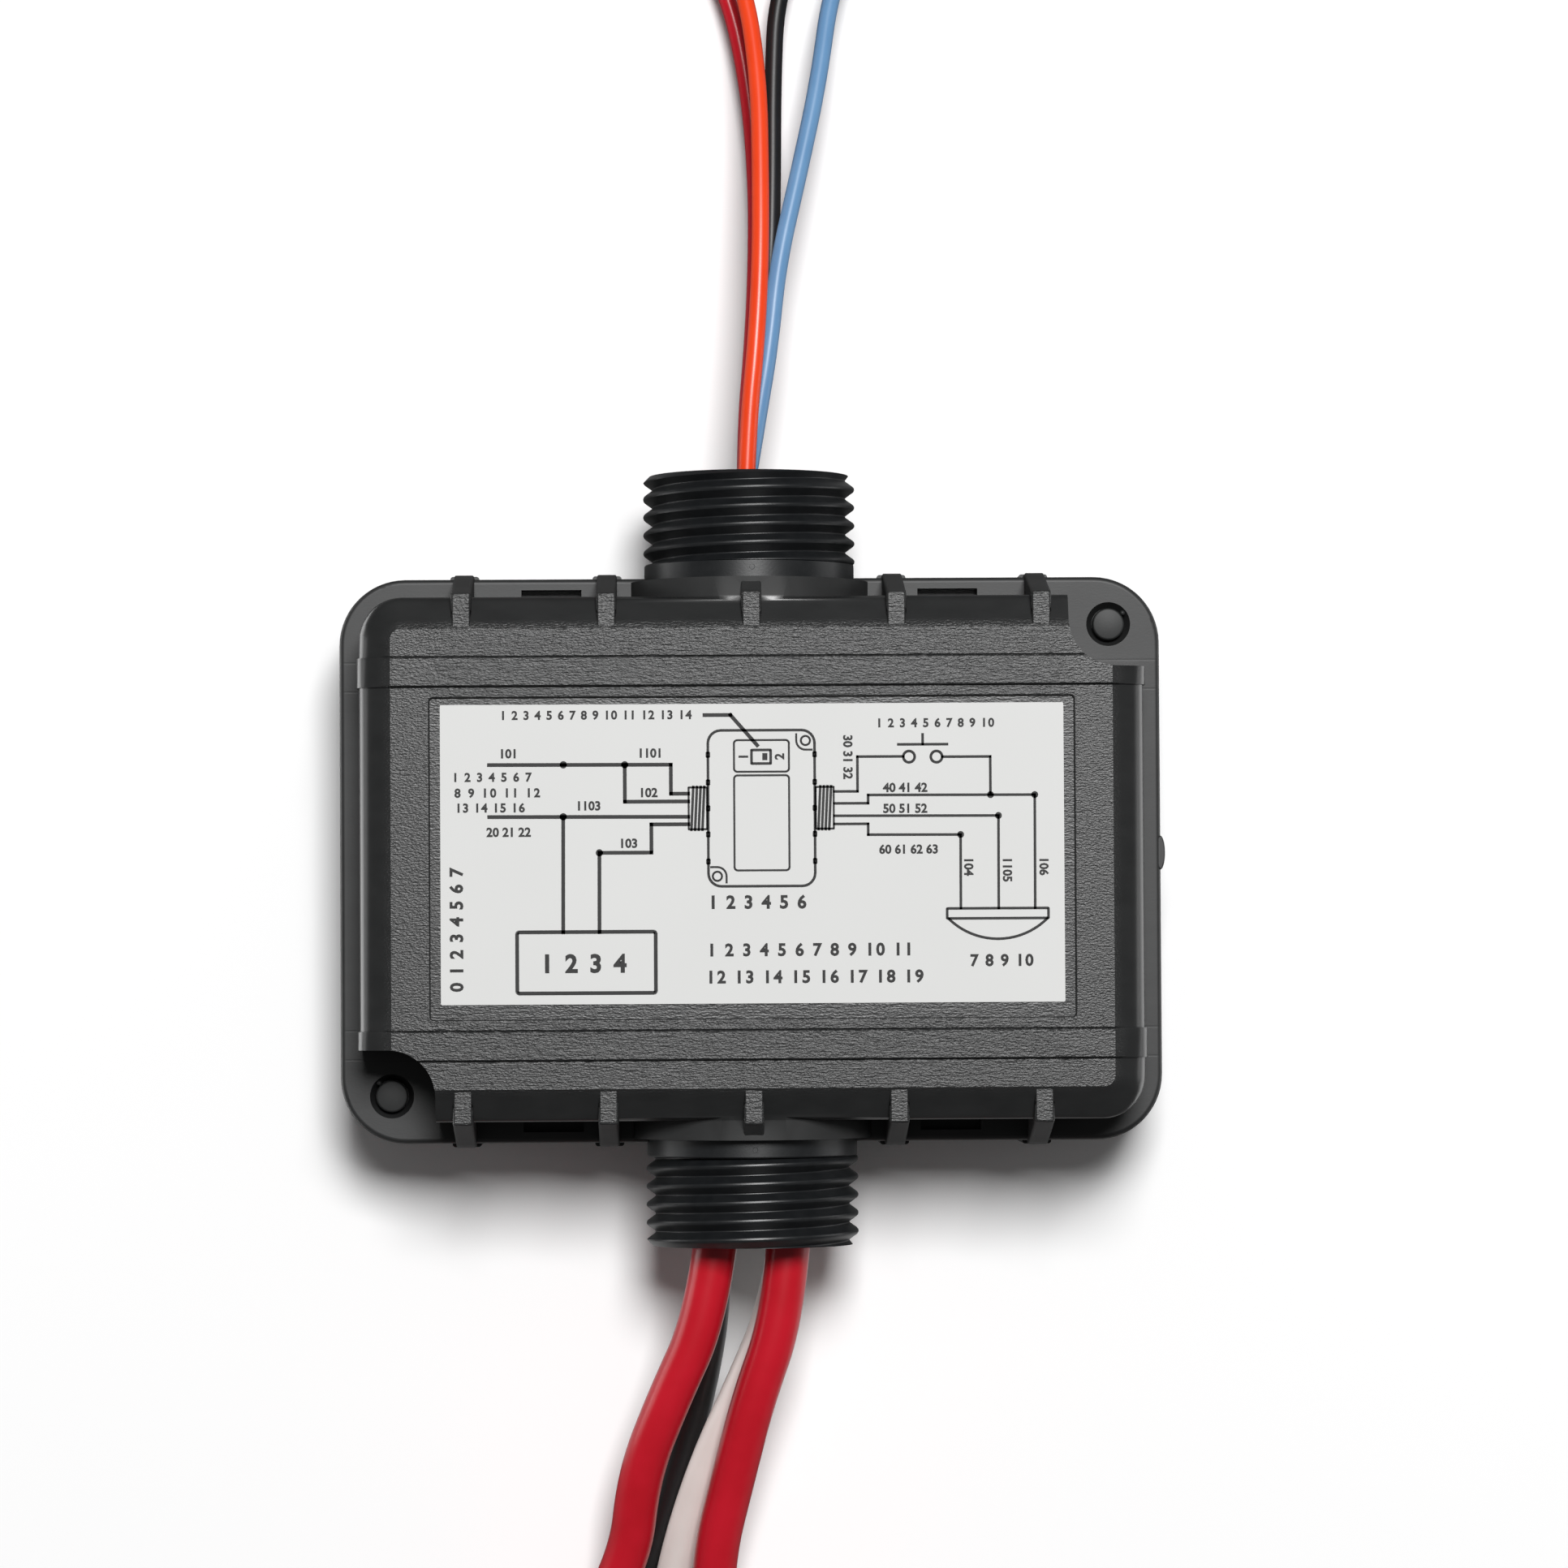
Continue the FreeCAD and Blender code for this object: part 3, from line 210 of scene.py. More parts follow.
# %% [markdown]
# The last 12 mm of each lead is stripped, and shows its copper: thin strands laid round each other
# in rings. One twisted rod with a bump could stand for them, but the grooves between the strands
# show at the cut end, so every strand is its own round thread on a helix.
# %% Stripped ends
strip_length = 12.0 * mm
bundle_diameters = {load_lead_diameter: 2.3 * mm, line_lead_diameter: 1.85 * mm,
                    sensor_lead_diameter: 0.76 * mm}
ring_counts = {load_lead_diameter: (1, 6, 12), line_lead_diameter: (1, 6, 12),
               sensor_lead_diameter: (1, 6)}
strand_turns = 0.8
strand_points = 9


def stripped_end(name, start, direction, diameter, rings):
    """Bundle of helical strands that goes on from the end of a lead."""
    thread_radius = diameter / 2 / (2 * len(rings) - 1)
    facing = direction.to_track_quat("Z", "Y").to_matrix().to_4x4()
    data = bpy.data.curves.new(name, "CURVE")
    data.dimensions = "3D"
    data.bevel_depth = thread_radius
    data.bevel_resolution = 1
    data.use_fill_caps = True
    for ring, count in enumerate(rings):
        for strand in range(count):
            spline = data.splines.new("POLY")
            spline.points.add(strand_points - 1)
            for index, point in enumerate(spline.points):
                share = index / (strand_points - 1)
                angle = math.tau * (strand / count + strand_turns * share)
                offset = ring * 2 * thread_radius
                point.co = (offset * math.cos(angle), offset * math.sin(angle),
                            share * strip_length, 1.0)
    mesh = mesh_of(data)
    mesh.transform(Matrix.Translation(start) @ facing)
    mesh.shade_smooth()
    return add_object(name, mesh)


lead_ends = {}
for lead_name, (route, lead_diameter) in lead_routes.items():
    last, end = Vector(route[-2]), Vector(route[-1])
    lead_ends[lead_name] = stripped_end(lead_name + "_strands", end, (end - last).normalized(),
                                        bundle_diameters[lead_diameter], ring_counts[lead_diameter])
print("strands in a load lead", sum(ring_counts[load_lead_diameter]))

# %% [markdown]
# Each lead takes the place of a cord of the imported model, whose own nodes are hidden. The loop below
# ties the lead and its stripped end to the housing's body, so that both move with it.
for lead_name, (route, lead_diameter) in lead_routes.items():
    lead, end = leads[lead_name], lead_ends[lead_name]
    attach(lead, "housing")
    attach(end, "housing")
    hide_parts(lead_name)
    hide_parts(lead_name + "_end")
print("cords declared", len(leads))

# %% [markdown]
# Every finish starts from the same few nodes: one shader, a pattern on Object coordinates that
# shifts the colour a little, and a finer pattern for the bump. They could be copied from material
# to material, but helpers keep each finish down to its own numbers. Amounts that are the same all
# over a surface are set on the shader itself.
# %% Helpers for finishes
def new_finish(name, roughness, metallic=0.0, specular=0.5):
    """Material with one shader, ready for its patterns."""
    material = bpy.data.materials.new(name)
    material.use_nodes = True
    shader = material.node_tree.nodes["Principled BSDF"]
    shader.inputs["Roughness"].default_value = roughness
    shader.inputs["Metallic"].default_value = metallic
    shader.inputs["Specular IOR Level"].default_value = specular
    return material


def into_shader(material, key, output):
    """Lead a node's output into one of the shader's inputs."""
    shader = material.node_tree.nodes["Principled BSDF"]
    material.node_tree.links.new(output, shader.inputs[key])


def add_node(material, kind, settings=(), **links):
    """Node of one kind, with its settings made and its named inputs linked."""
    node = material.node_tree.nodes.new(kind)
    for key, value in settings:
        if key in node.inputs:
            node.inputs[key].default_value = value
        else:
            setattr(node, key, value)
    for key, output in links.items():
        material.node_tree.links.new(output, node.inputs[key.replace("_", " ")])
    return node


def own_place(material):
    """Coordinates that stay with a piece when it moves."""
    return add_node(material, "ShaderNodeTexCoord").outputs["Object"]


def pattern(material, cells, stretch=(1, 1, 1), detail=3.0):
    """Noise on the object's own coordinates, with so many cells to the metre."""
    scaled = add_node(material, "ShaderNodeMapping", [("Scale", stretch)],
                      Vector=own_place(material))
    noise = add_node(material, "ShaderNodeTexNoise", [("Scale", cells), ("Detail", detail)],
                     Vector=scaled.outputs["Vector"])
    return noise.outputs["Fac"]


def tint(material, factor, dark, light):
    """Colour that drifts from dark to light with a pattern."""
    ramp = add_node(material, "ShaderNodeValToRGB", Fac=factor)
    for element, position, colour in zip(ramp.color_ramp.elements, (0.3, 0.7), (dark, light)):
        element.position = position
        element.color = (*colour, 1.0)
    into_shader(material, "Base Color", ramp.outputs["Color"])


def relief(material, factor, height, strength):
    """Bump of a real height in metres from a pattern."""
    bump = add_node(material, "ShaderNodeBump", [("Distance", height), ("Strength", strength)],
                    Height=factor)
    into_shader(material, "Normal", bump.outputs["Normal"])


def plain_finish(name, dark, light, roughness, metallic=0.0, cells=900, grain=5000, height=0.01):
    """Moulded, coated or plated surface with a faint mottle and a fine grain."""
    material = new_finish(name, roughness, metallic)
    tint(material, pattern(material, cells), dark, light)
    relief(material, pattern(material, grain), height * mm, 0.5)
    return material


# %% [markdown]
# A finish that changes over its piece reads a coordinate, works on it in small steps, and spreads
# the result over the range of a roughness or a bump. Two short helpers do each kind of step.
# %% Helpers for changes over a piece
def worked_out(material, operation, value, number=0.0):
    """One step of arithmetic on a node's output."""
    step = add_node(material, "ShaderNodeMath", [("operation", operation)])
    material.node_tree.links.new(value, step.inputs[0])
    step.inputs[1].default_value = number
    return step.outputs[0]


def spread(material, value, start, end, low=0.0, high=1.0, **links):
    """Number that goes from low to high while a value goes from start to end."""
    settings = [("From Min", start), ("From Max", end), ("To Min", low), ("To Max", high)]
    return add_node(material, "ShaderNodeMapRange", settings, Value=value, **links).outputs["Result"]


# %% [markdown]
# The housing is dark grey moulded plastic. Its label face is textured like fine leather, with
# creases that run along the housing and calm down towards its ends, and each belt of the face ends
# in a fine groove. The shoulders and sides are satin. Two materials could meet at the shoulder, but
# the texture fades out there on the real moulding, so one material reads the height and fades it
# below the face. Absolute coordinates fold the housing about its middle, so that one groove made in
# them stands for four.
# %% Housing finish
belt_rise = 0.2 * mm
face_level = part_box("back_cover")[1].z - belt_rise
belt_middle = 18.35 * mm
belt_half = 1.45 * mm
groove_half = 0.13 * mm
fade_low, fade_high = face_level - 0.5 * mm, face_level - 0.1 * mm
calm_from, calm_to = 30.5 * mm, 32.5 * mm
side_from, side_to = 25.7 * mm, 25.9 * mm
satin_from, satin_to = 15.7 * mm, 17.0 * mm
groove_depth, groove_below = 0.1 * mm, 0.1
long_crease_depth, long_crease_below = 0.08 * mm, 0.02
short_crease_depth, short_crease_below = 0.07 * mm, 0.06
long_crease_strength, end_crease_strength, short_crease_strength = 0.8, 0.25, 0.9
flange_roughness = 0.5
shoulder_roughness = 0.3
side_roughness = 0.65
face_roughness = 0.38

housing_finish = new_finish("housing_finish", flange_roughness)
tint(housing_finish, pattern(housing_finish, 260, (1, 2, 1)), (0.013, 0.0135, 0.0137),
     (0.018, 0.0185, 0.0187))
place = own_place(housing_finish)
height_on_housing = add_node(housing_finish, "ShaderNodeSeparateXYZ", Vector=place).outputs["Z"]
folded = add_node(housing_finish, "ShaderNodeVectorMath", [("operation", "ABSOLUTE")], Vector=place)
from_middle = add_node(housing_finish, "ShaderNodeSeparateXYZ", Vector=folded.outputs["Vector"])
on_face = spread(housing_finish, height_on_housing, fade_low, fade_high)
calm_ends = spread(housing_finish, from_middle.outputs["X"], calm_from, calm_to,
                   long_crease_strength, end_crease_strength)
groove = from_middle.outputs["Y"]
for shift in (belt_middle, belt_half):
    groove = worked_out(housing_finish, "SUBTRACT", groove, shift)
    groove = worked_out(housing_finish, "ABSOLUTE", groove)
groove = spread(housing_finish, groove, 0.0, groove_half)

layers = (
    (groove, groove_depth, spread(housing_finish, on_face, 0.0, 1.0, groove_below)),
    (pattern(housing_finish, 1500, (0.5, 3.2, 3.2), 5.0), long_crease_depth,
     spread(housing_finish, on_face, 0.0, 1.0, long_crease_below, To_Max=calm_ends)),
    (pattern(housing_finish, 4200, (0.8, 1.5, 1.5), 2.0), short_crease_depth,
     spread(housing_finish, on_face, 0.0, 1.0, short_crease_below, short_crease_strength)))
below = {}
for factor, depth, strength in layers:
    bump = add_node(housing_finish, "ShaderNodeBump", [("Distance", depth)], Height=factor,
                    Strength=strength, **below)
    below = {"Normal": bump.outputs["Normal"]}
into_shader(housing_finish, "Normal", below["Normal"])

satin = spread(housing_finish, from_middle.outputs["Y"], side_from, side_to, shoulder_roughness,
               side_roughness)
off_face = spread(housing_finish, height_on_housing, satin_from, satin_to, flange_roughness,
                  To_Max=satin)
into_shader(housing_finish, "Roughness",
            spread(housing_finish, on_face, 0.0, 1.0, high=face_roughness, To_Min=off_face))
print("label face at", round(face_level / mm, 1), "mm")

# %% [markdown]
# The other finishes: black nylon for the nipples, matt film for the label, PVC for the leads, and
# the metals, plastics and windings inside. Each one gets its own tint and grain, and a table links
# the record's slots to them, so that every carried-over node is dressed in one loop.
# %% Other finishes
plain_looks = {
    "nipple_plastic": ("nipple", (0.007, 0.008, 0.009), (0.011, 0.012, 0.013), 0.38),
    "plug_plastic": ("plug", (0.012, 0.012, 0.013), (0.02, 0.02, 0.021), 0.55),
    "pin_plastic": ("pin", (0.010, 0.011, 0.011), (0.014, 0.015, 0.015), 0.55),
    "board_laminate": ("board", (0.012, 0.09, 0.035), (0.02, 0.13, 0.05), 0.35),
    "switch_plastic": ("switch", (0.014, 0.014, 0.015), (0.022, 0.022, 0.023), 0.42),
    "contact_metal": ("contact", (0.62, 0.5, 0.26), (0.72, 0.58, 0.3), 0.28, 1.0),
    "relay_plastic": ("relay", (0.012, 0.02, 0.06), (0.02, 0.03, 0.08), 0.4),
    "relay_steel": ("steel", (0.45, 0.45, 0.46), (0.56, 0.56, 0.57), 0.33, 1.0),
    "bobbin_plastic": ("bobbin", (0.5, 0.49, 0.44), (0.6, 0.59, 0.53), 0.5),
    "chip_plastic": ("chip", (0.014, 0.014, 0.014), (0.022, 0.022, 0.022), 0.5),
    "capacitor_sleeve": ("sleeve", (0.015, 0.016, 0.05), (0.02, 0.022, 0.07), 0.25),
    "capacitor_box": ("box", (0.5, 0.36, 0.04), (0.6, 0.43, 0.06), 0.35),
    "varistor_coating": ("varistor", (0.03, 0.08, 0.28), (0.04, 0.11, 0.35), 0.3),
    "winding_tape": ("tape", (0.6, 0.45, 0.05), (0.7, 0.53, 0.07), 0.3),
    "bare_copper": ("copper", (0.66, 0.28, 0.14), (0.78, 0.37, 0.19), 0.28, 1.0),
}
insulation_looks = {
    "red": ((0.46, 0.005, 0.014), (0.53, 0.007, 0.02), 0.3),
    "black": ((0.006, 0.006, 0.006), (0.010, 0.009, 0.010), 0.38),
    "white": ((0.64, 0.59, 0.56), (0.68, 0.63, 0.6), 0.38),
    "orange": ((0.78, 0.05, 0.006), (0.84, 0.06, 0.01), 0.32),
    "blue": ((0.112, 0.25, 0.45), (0.135, 0.285, 0.49), 0.38),
}
finishes = {slot_name: plain_finish(name + "_finish", *look)
            for slot_name, (name, *look) in plain_looks.items()}
for colour, look in insulation_looks.items():
    finishes["wire_" + colour] = plain_finish(colour + "_finish", *look, cells=200, height=0.004)
finishes["label_film"] = plain_finish("label_finish", (0.645, 0.647, 0.637), (0.658, 0.66, 0.65),
                                      0.6, cells=60, grain=2500, height=0.003)
finishes["housing_plastic"] = housing_finish
print("finishes", len(finishes))

# %% [markdown]
# Three finishes need more than a mottle. The transformer's core is a stack of thin plates, the
# relay's coil is wound wire, and both show as fine parallel lines. Modelled one by one, hundreds of
# plates and turns would be hidden weight, so a banded wave gives the lines a bump. The fuse is
# clear glass between plated caps, so its middle is pale and its ends are metal.
# %% Layered and clear finishes
layer_groove = 0.08 * mm


def banded_finish(name, dark, light, roughness, bands, metallic):
    """Surface made of layers, with fine parallel grooves one above the other."""
    material = new_finish(name, roughness, metallic)
    wave = add_node(material, "ShaderNodeTexWave",
                    [("Scale", bands), ("Distortion", 0.4), ("bands_direction", "Z")],
                    Vector=own_place(material)).outputs["Fac"]
    tint(material, wave, dark, light)
    relief(material, wave, layer_groove, 0.7)
    return material


finishes["core_steel"] = banded_finish("core_finish", (0.16, 0.16, 0.17), (0.3, 0.3, 0.31), 0.4,
                                       320, 0.9)
finishes["enamelled_copper"] = banded_finish("coil_finish", (0.28, 0.07, 0.02), (0.5, 0.16, 0.05),
                                             0.3, 800, 0.8)
cap_length = 2.5 * mm
cap_edge = 0.05 * mm
fuse_low, fuse_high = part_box("fuse")
half_glass = (fuse_high.x - fuse_low.x) / 2 - cap_length
fuse_finish = new_finish("fuse_finish", 0.08)
along_fuse = add_node(fuse_finish, "ShaderNodeSeparateXYZ", Vector=own_place(fuse_finish))
from_centre = worked_out(fuse_finish, "SUBTRACT", along_fuse.outputs["X"],
                         (fuse_low.x + fuse_high.x) / 2)
from_centre = worked_out(fuse_finish, "ABSOLUTE", from_centre)
on_cap = spread(fuse_finish, from_centre, half_glass - cap_edge, half_glass + cap_edge)
into_shader(fuse_finish, "Metallic", on_cap)
tint(fuse_finish, on_cap, (0.85, 0.9, 0.9), (0.7, 0.7, 0.72))
finishes["fuse_glass"] = fuse_finish
print("glass between the caps", round(2 * half_glass / mm, 1), "mm")

# %% [markdown]
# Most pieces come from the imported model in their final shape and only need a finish. It could be
# given piece by piece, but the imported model's own record names a slot for each, so a loop over the
# record misses none.
# %% Dress the carried-over nodes
def dress(piece, slot_name):
    """Give a piece the finish of one of the record's slots."""
    piece.data.materials.clear()
    piece.data.materials.append(finishes[slot_name])


slots = {part["node"]: part["material_slot"] for part in frame["record"]["subparts"]}
for node_name, node in frame["nodes"].items():
    dress(node, slots[node_name])
for lead_name in lead_routes:
    dress(leads[lead_name], slots[lead_name])
    dress(lead_ends[lead_name], "bare_copper")
print("dressed", len(slots), "nodes")

# %% [markdown]
# The label side's cover has five fins on each long side, like small buttresses. On the real
# moulding their fronts are hardly wider than their tops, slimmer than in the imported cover. Loose
# new fins would hide inside the old ones, so a copy of the cover is merged, and only the points of
# its fins are drawn in along the housing. The faces round them run the same way, so they stay flat.
# %% Cover with slim fins
fin_places = [place * mm for place in (-28.5, -14.25, 0.0, 14.25, 28.5)]
fin_reach = 1.47 * mm
fin_top = 26.85 * mm
fin_top_half = 0.95 * mm
fin_foot_half = 1.45 * mm
slim_half = 1.0 * mm
fin_inner = 22.5 * mm
parting_level = 13.6 * mm
rim_level = 15.6 * mm
saddle_level = 25.0 * mm
tolerance = 0.001 * mm


def merged_copy(node_name):
    """Copy of a node's mesh with its loose triangles joined."""
    bm = bmesh.new()
    bm.from_mesh(frame["nodes"][node_name].data)
    bmesh.ops.remove_doubles(bm, verts=bm.verts, dist=tolerance)
    return bm


cover_bm = merged_copy("back_cover")
drawn_in = 0
for vert in cover_bm.verts:
    place = min(fin_places, key=lambda fin_x: abs(vert.co.x - fin_x))
    offset = vert.co.x - place
    if abs(offset) > fin_reach or abs(vert.co.y) < fin_inner or vert.co.z < parting_level:
        continue
    foot_level = saddle_level if place == 0 else rim_level
    share = min(max((vert.co.z - foot_level) / (fin_top - foot_level), 0.0), 1.0)
    half = fin_foot_half + (fin_top_half - fin_foot_half) * share
    vert.co.x = place + offset * slim_half / half
    drawn_in += 1
print("fin points drawn in", drawn_in)

# %% [markdown]
# The label face ends in a crisp edge, and the shoulder drops away from it at once. The packed
# cover has a plain quarter round there, which would shine like the face for its first millimetre.
# Every point of that round keeps its place seen from above, and its height follows a straight slope
# with a small round at its foot, wider at the housing's ends.
# %% Crisp shoulders
body_half = Vector((38.65, 25.8)) * mm
body_radius = 4.25 * mm
shoulder_radius = 3.2 * mm
shoulder_slope = math.radians(28)
end_round = 0.36
side_round = 0.12
saddle_reach = 12.5 * mm
arc_level = face_level - shoulder_radius
arc_margin = 0.03 * mm
foot_margin = 0.01 * mm
saddle_margin = 0.1 * mm


def place_on_shoulder(spot):
    """How far a place lies inside the housing's outline, and the share of the foot's round there."""
    over_x = abs(spot.x) - body_half.x + body_radius
    over_y = abs(spot.y) - body_half.y + body_radius
    if over_x > 0 and over_y > 0:
        reach = math.hypot(over_x, over_y)
        towards_end = (over_x / reach) ** 2
    else:
        reach = max(over_x, over_y)
        towards_end = 1.0 if over_x > over_y else 0.0
    return body_radius - reach, side_round + (end_round - side_round) * towards_end


def shoulder_drop(share, round_share):
    """Depth below the face at a share of the shoulder's width from its foot."""
    if share >= round_share:
        return shoulder_radius * (1 - share) * math.tan(shoulder_slope)
    foot_arc = round_share * shoulder_radius / (1 - math.sin(shoulder_slope))
    sine = 1 - (1 - math.sin(shoulder_slope)) * share / round_share
    cosine = math.sqrt(max(0.0, 1 - sine * sine))
    return (shoulder_radius * (1 - round_share) * math.tan(shoulder_slope)
            + foot_arc * (math.cos(shoulder_slope) - cosine))


sunk = 0
for vert in cover_bm.verts:
    if vert.co.z < arc_level - foot_margin:
        continue
    inwards, round_share = place_on_shoulder(vert.co)
    run = shoulder_radius - inwards
    reach = math.hypot(run, vert.co.z - arc_level)
    rise = min((0.0, belt_rise), key=lambda step: abs(reach - shoulder_radius - step))
    on_round = run > 0 and abs(reach - shoulder_radius - rise) < arc_margin
    on_saddle = abs(vert.co.x) < saddle_reach and vert.co.z < saddle_level + saddle_margin
    if on_saddle or not on_round:
        continue
    vert.co.z = face_level + rise - shoulder_drop(1 - min(run / reach, 1.0), round_share)
    sunk += 1
print("shoulder points sunk", sunk)

# %% [markdown]
# The fins' inner ends have sunk with the shoulder, so a bevelled block on each fin restores its
# flat top up to the face. Plain smooth shading would smear a gradient over the flat face, so each
# corner is shaded by the faces that turn gently into its own, and the flat face keeps to itself.
# %% Fin caps and shading
cap_half = 0.9 * mm
cap_lift = 0.03 * mm
cap_top = fin_top + cap_lift
cap_inner, cap_outer = 22.65 * mm, 26.0 * mm
cap_depth = 2.0 * mm
cap_round = 0.14 * mm
level_normal = 0.9999


def soften(bm, edges, width):
    """Round edges off."""
    bmesh.ops.bevel(bm, geom=edges, offset=width, segments=3, profile=0.5, affect="EDGES", material=-1)


def settle_normals(mesh, sharp_angle, crisp_flats):
    """Shade each corner by the areas of the faces that turn gently into its own."""
    flat = [crisp_flats and polygon.normal.z > level_normal for polygon in mesh.polygons]
    around = [[] for _ in mesh.vertices]
    for polygon in mesh.polygons:
        for index in polygon.vertices:
            around[index].append(polygon)
    least = math.cos(math.radians(sharp_angle))
    normals = []
    for polygon in mesh.polygons:
        for index in polygon.vertices:
            total = Vector()
            for other in around[index]:
                if (flat[other.index] == flat[polygon.index]
                        and polygon.normal.dot(other.normal) > least):
                    total += other.normal * other.area
            normals.append(total.normalized())
    mesh.shade_smooth()
    mesh.normals_split_custom_set(normals)


def finished_mesh(name, bm):
    """Mesh of what a bmesh holds, which is then let go."""
    mesh = bpy.data.meshes.new(name)
    bm.to_mesh(mesh)
    bm.free()
    return mesh


def finish_piece(name, bm, slot_name, sharp_angle=35, crisp_flats=False):
    """Object of a finished mesh, smooth apart from its edges, that rides on the housing."""
    mesh = finished_mesh(name, bm)
    settle_normals(mesh, sharp_angle, crisp_flats)
    piece = add_object(name, mesh)
    dress(piece, slot_name)
    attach(piece, "housing")
    return piece


for fin_x in fin_places:
    for side in (1, -1):
        middle = Vector((fin_x, side * (cap_inner + cap_outer) / 2, cap_top - cap_depth / 2))
        matrix = Matrix.Translation(middle) @ Matrix.Diagonal((2 * cap_half, cap_outer - cap_inner,
                                                               cap_depth, 1.0))
        block = bmesh.ops.create_cube(cover_bm, size=1.0, matrix=matrix)
        rim = {edge for vert in block["verts"] for edge in vert.link_edges
               if all(abs(end.co.z - cap_top) < tolerance for end in edge.verts)}
        soften(cover_bm, list(rim), cap_round)
cover = finish_piece("cover_with_crisp_shoulders", cover_bm, "housing_plastic", crisp_flats=True)
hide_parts("back_cover")
print("cover faces", len(cover.data.polygons))

# %% [markdown]
# Two pins hold the covers together through opposite corners. Each has a low button on this side,
# in a hole whose wall slopes down to it, a rounded head on the other, and a speck of flash at its
# edge. A profile turned about the pin's axis gives all of it, and the sloping wall is a turned
# ring of its own, which keeps the hole dark round the button as it is on the real part.
# %% Corner pins
pin_low, pin_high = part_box("corner_pins")
pin_head_radius = 2.6 * mm
pin_head_depth = 0.9 * mm
pin_head_round = 0.5 * mm
pin_x = pin_high.x - pin_head_radius
pin_y = pin_high.y - pin_head_radius
shank_radius = 1.45 * mm
button_radius = 1.6 * mm
button_foot = 14.6 * mm
button_top = 15.75 * mm
button_round = 0.22 * mm
dome_rise = 0.1 * mm
hole_radius = 2.19 * mm
seat_gap = 0.03 * mm
seat_level, seat_top = button_foot + 0.01 * mm, rim_level - 0.02 * mm
nub_radius = 0.26 * mm
nub_depth = 0.12 * mm
pin_steps = 48


def chain(bm, points, closed=False):
    """Vertices and edges along a profile, in the plane of X and Z."""
    verts = [bm.verts.new((radius, 0.0, level)) for radius, level in points]
    pairs = list(zip(verts, verts[1:]))
    if closed:
        pairs.append((verts[-1], verts[0]))
    return verts + [bm.edges.new(pair) for pair in pairs]


def turned(bm, points, steps=96, closed=True):
    """Profile turned a full circle about Z, with its seam and poles merged."""
    geometry = chain(bm, points, closed)
    bmesh.ops.spin(bm, geom=geometry, cent=(0, 0, 0), axis=(0, 0, 1), dvec=(0, 0, 0),
                   angle=math.tau, steps=steps, use_merge=True)
    bmesh.ops.remove_doubles(bm, verts=bm.verts, dist=tolerance / 2)


def round_corner(radius, level, soft, upper):
    """Points round a turned corner, in the order of a profile that climbs."""
    points = []
    for step in range(6):
        angle = math.radians(90 - 90 * step / 5)
        rise = soft * math.sin(angle) - soft
        points.append((radius - soft + soft * math.cos(angle), level + (rise if upper else -rise)))
    return points[::-1] if upper else points


def add_part(target, part, place=(0.0, 0.0, 0.0)):
    """Move a part to its place and join it to a larger mesh."""
    bmesh.ops.translate(part, verts=part.verts, vec=place)
    mesh = finished_mesh("part", part)
    target.from_mesh(mesh)
    bpy.data.meshes.remove(mesh)


pin_profile = [(0.0, pin_low.z)] + round_corner(pin_head_radius, pin_low.z, pin_head_round, upper=False)
pin_profile += [(pin_head_radius, pin_low.z + pin_head_depth), (shank_radius, pin_low.z + pin_head_depth),
                (shank_radius, button_foot), (button_radius, button_foot)]
pin_profile += round_corner(button_radius, button_top, button_round, upper=True)
pin_profile += [(0.55 * button_radius, button_top + 0.8 * dome_rise), (0.0, button_top + dome_rise)]
seat_profile = [(button_radius + seat_gap, seat_level), (hole_radius, seat_level),
                (hole_radius, seat_top)]
pins_bm = bmesh.new()
seats_bm = bmesh.new()
for side, nub_turn in ((1, 38), (-1, 133)):
    pin_bm = bmesh.new()
    turned(pin_bm, pin_profile, pin_steps, closed=False)
    nub_angle = math.radians(nub_turn)
    nub_reach = button_radius + button_round
    nub = bmesh.ops.create_icosphere(pin_bm, subdivisions=3, radius=nub_radius)
    bmesh.ops.translate(pin_bm, verts=nub["verts"],
                        vec=(nub_reach * math.cos(nub_angle), nub_reach * math.sin(nub_angle),
                             button_top - nub_depth))
    seat_bm = bmesh.new()
    turned(seat_bm, seat_profile, pin_steps)
    for group, part in ((pins_bm, pin_bm), (seats_bm, seat_bm)):
        bmesh.ops.recalc_face_normals(part, faces=part.faces)
        add_part(group, part, (side * pin_x, side * pin_y, 0.0))
pins = finish_piece("turned_corner_pins", pins_bm, "pin_plastic")
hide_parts("corner_pins")
seats = finish_piece("pin_seats", seats_bm, "housing_plastic")
print("pins at", round(pin_x / mm, 2), round(pin_y / mm, 2), "mm")

# %% [markdown]
# On the right edge of the rim the moulding has a small nib, where it was broken from its runner.
# A cube would look like an added block, so it is a flat lens with softened edges, half sunk.
# %% Nib on the rim
nib_place = Vector((40.98, 0.5, 14.6)) * mm
nib_half_width = 0.47 * mm
nib_half_length = 1.7 * mm
nib_thickness = 1.8 * mm
nib_round = 0.15 * mm
nib_bm = bmesh.new()
bmesh.ops.create_cone(nib_bm, cap_ends=True, segments=40, radius1=1.0, radius2=1.0,
                      depth=nib_thickness)
bmesh.ops.scale(nib_bm, vec=(nib_half_width, nib_half_length, 1.0), verts=nib_bm.verts)
nib_sides = [edge for edge in nib_bm.edges if len({end.co.z > 0 for end in edge.verts}) == 1]
soften(nib_bm, nib_sides, nib_round)
bmesh.ops.translate(nib_bm, verts=nib_bm.verts, vec=nib_place)
finish_piece("rim_nib", nib_bm, "housing_plastic", sharp_angle=40)
print("nib", round(2 * nib_half_length / mm, 1), "mm long")

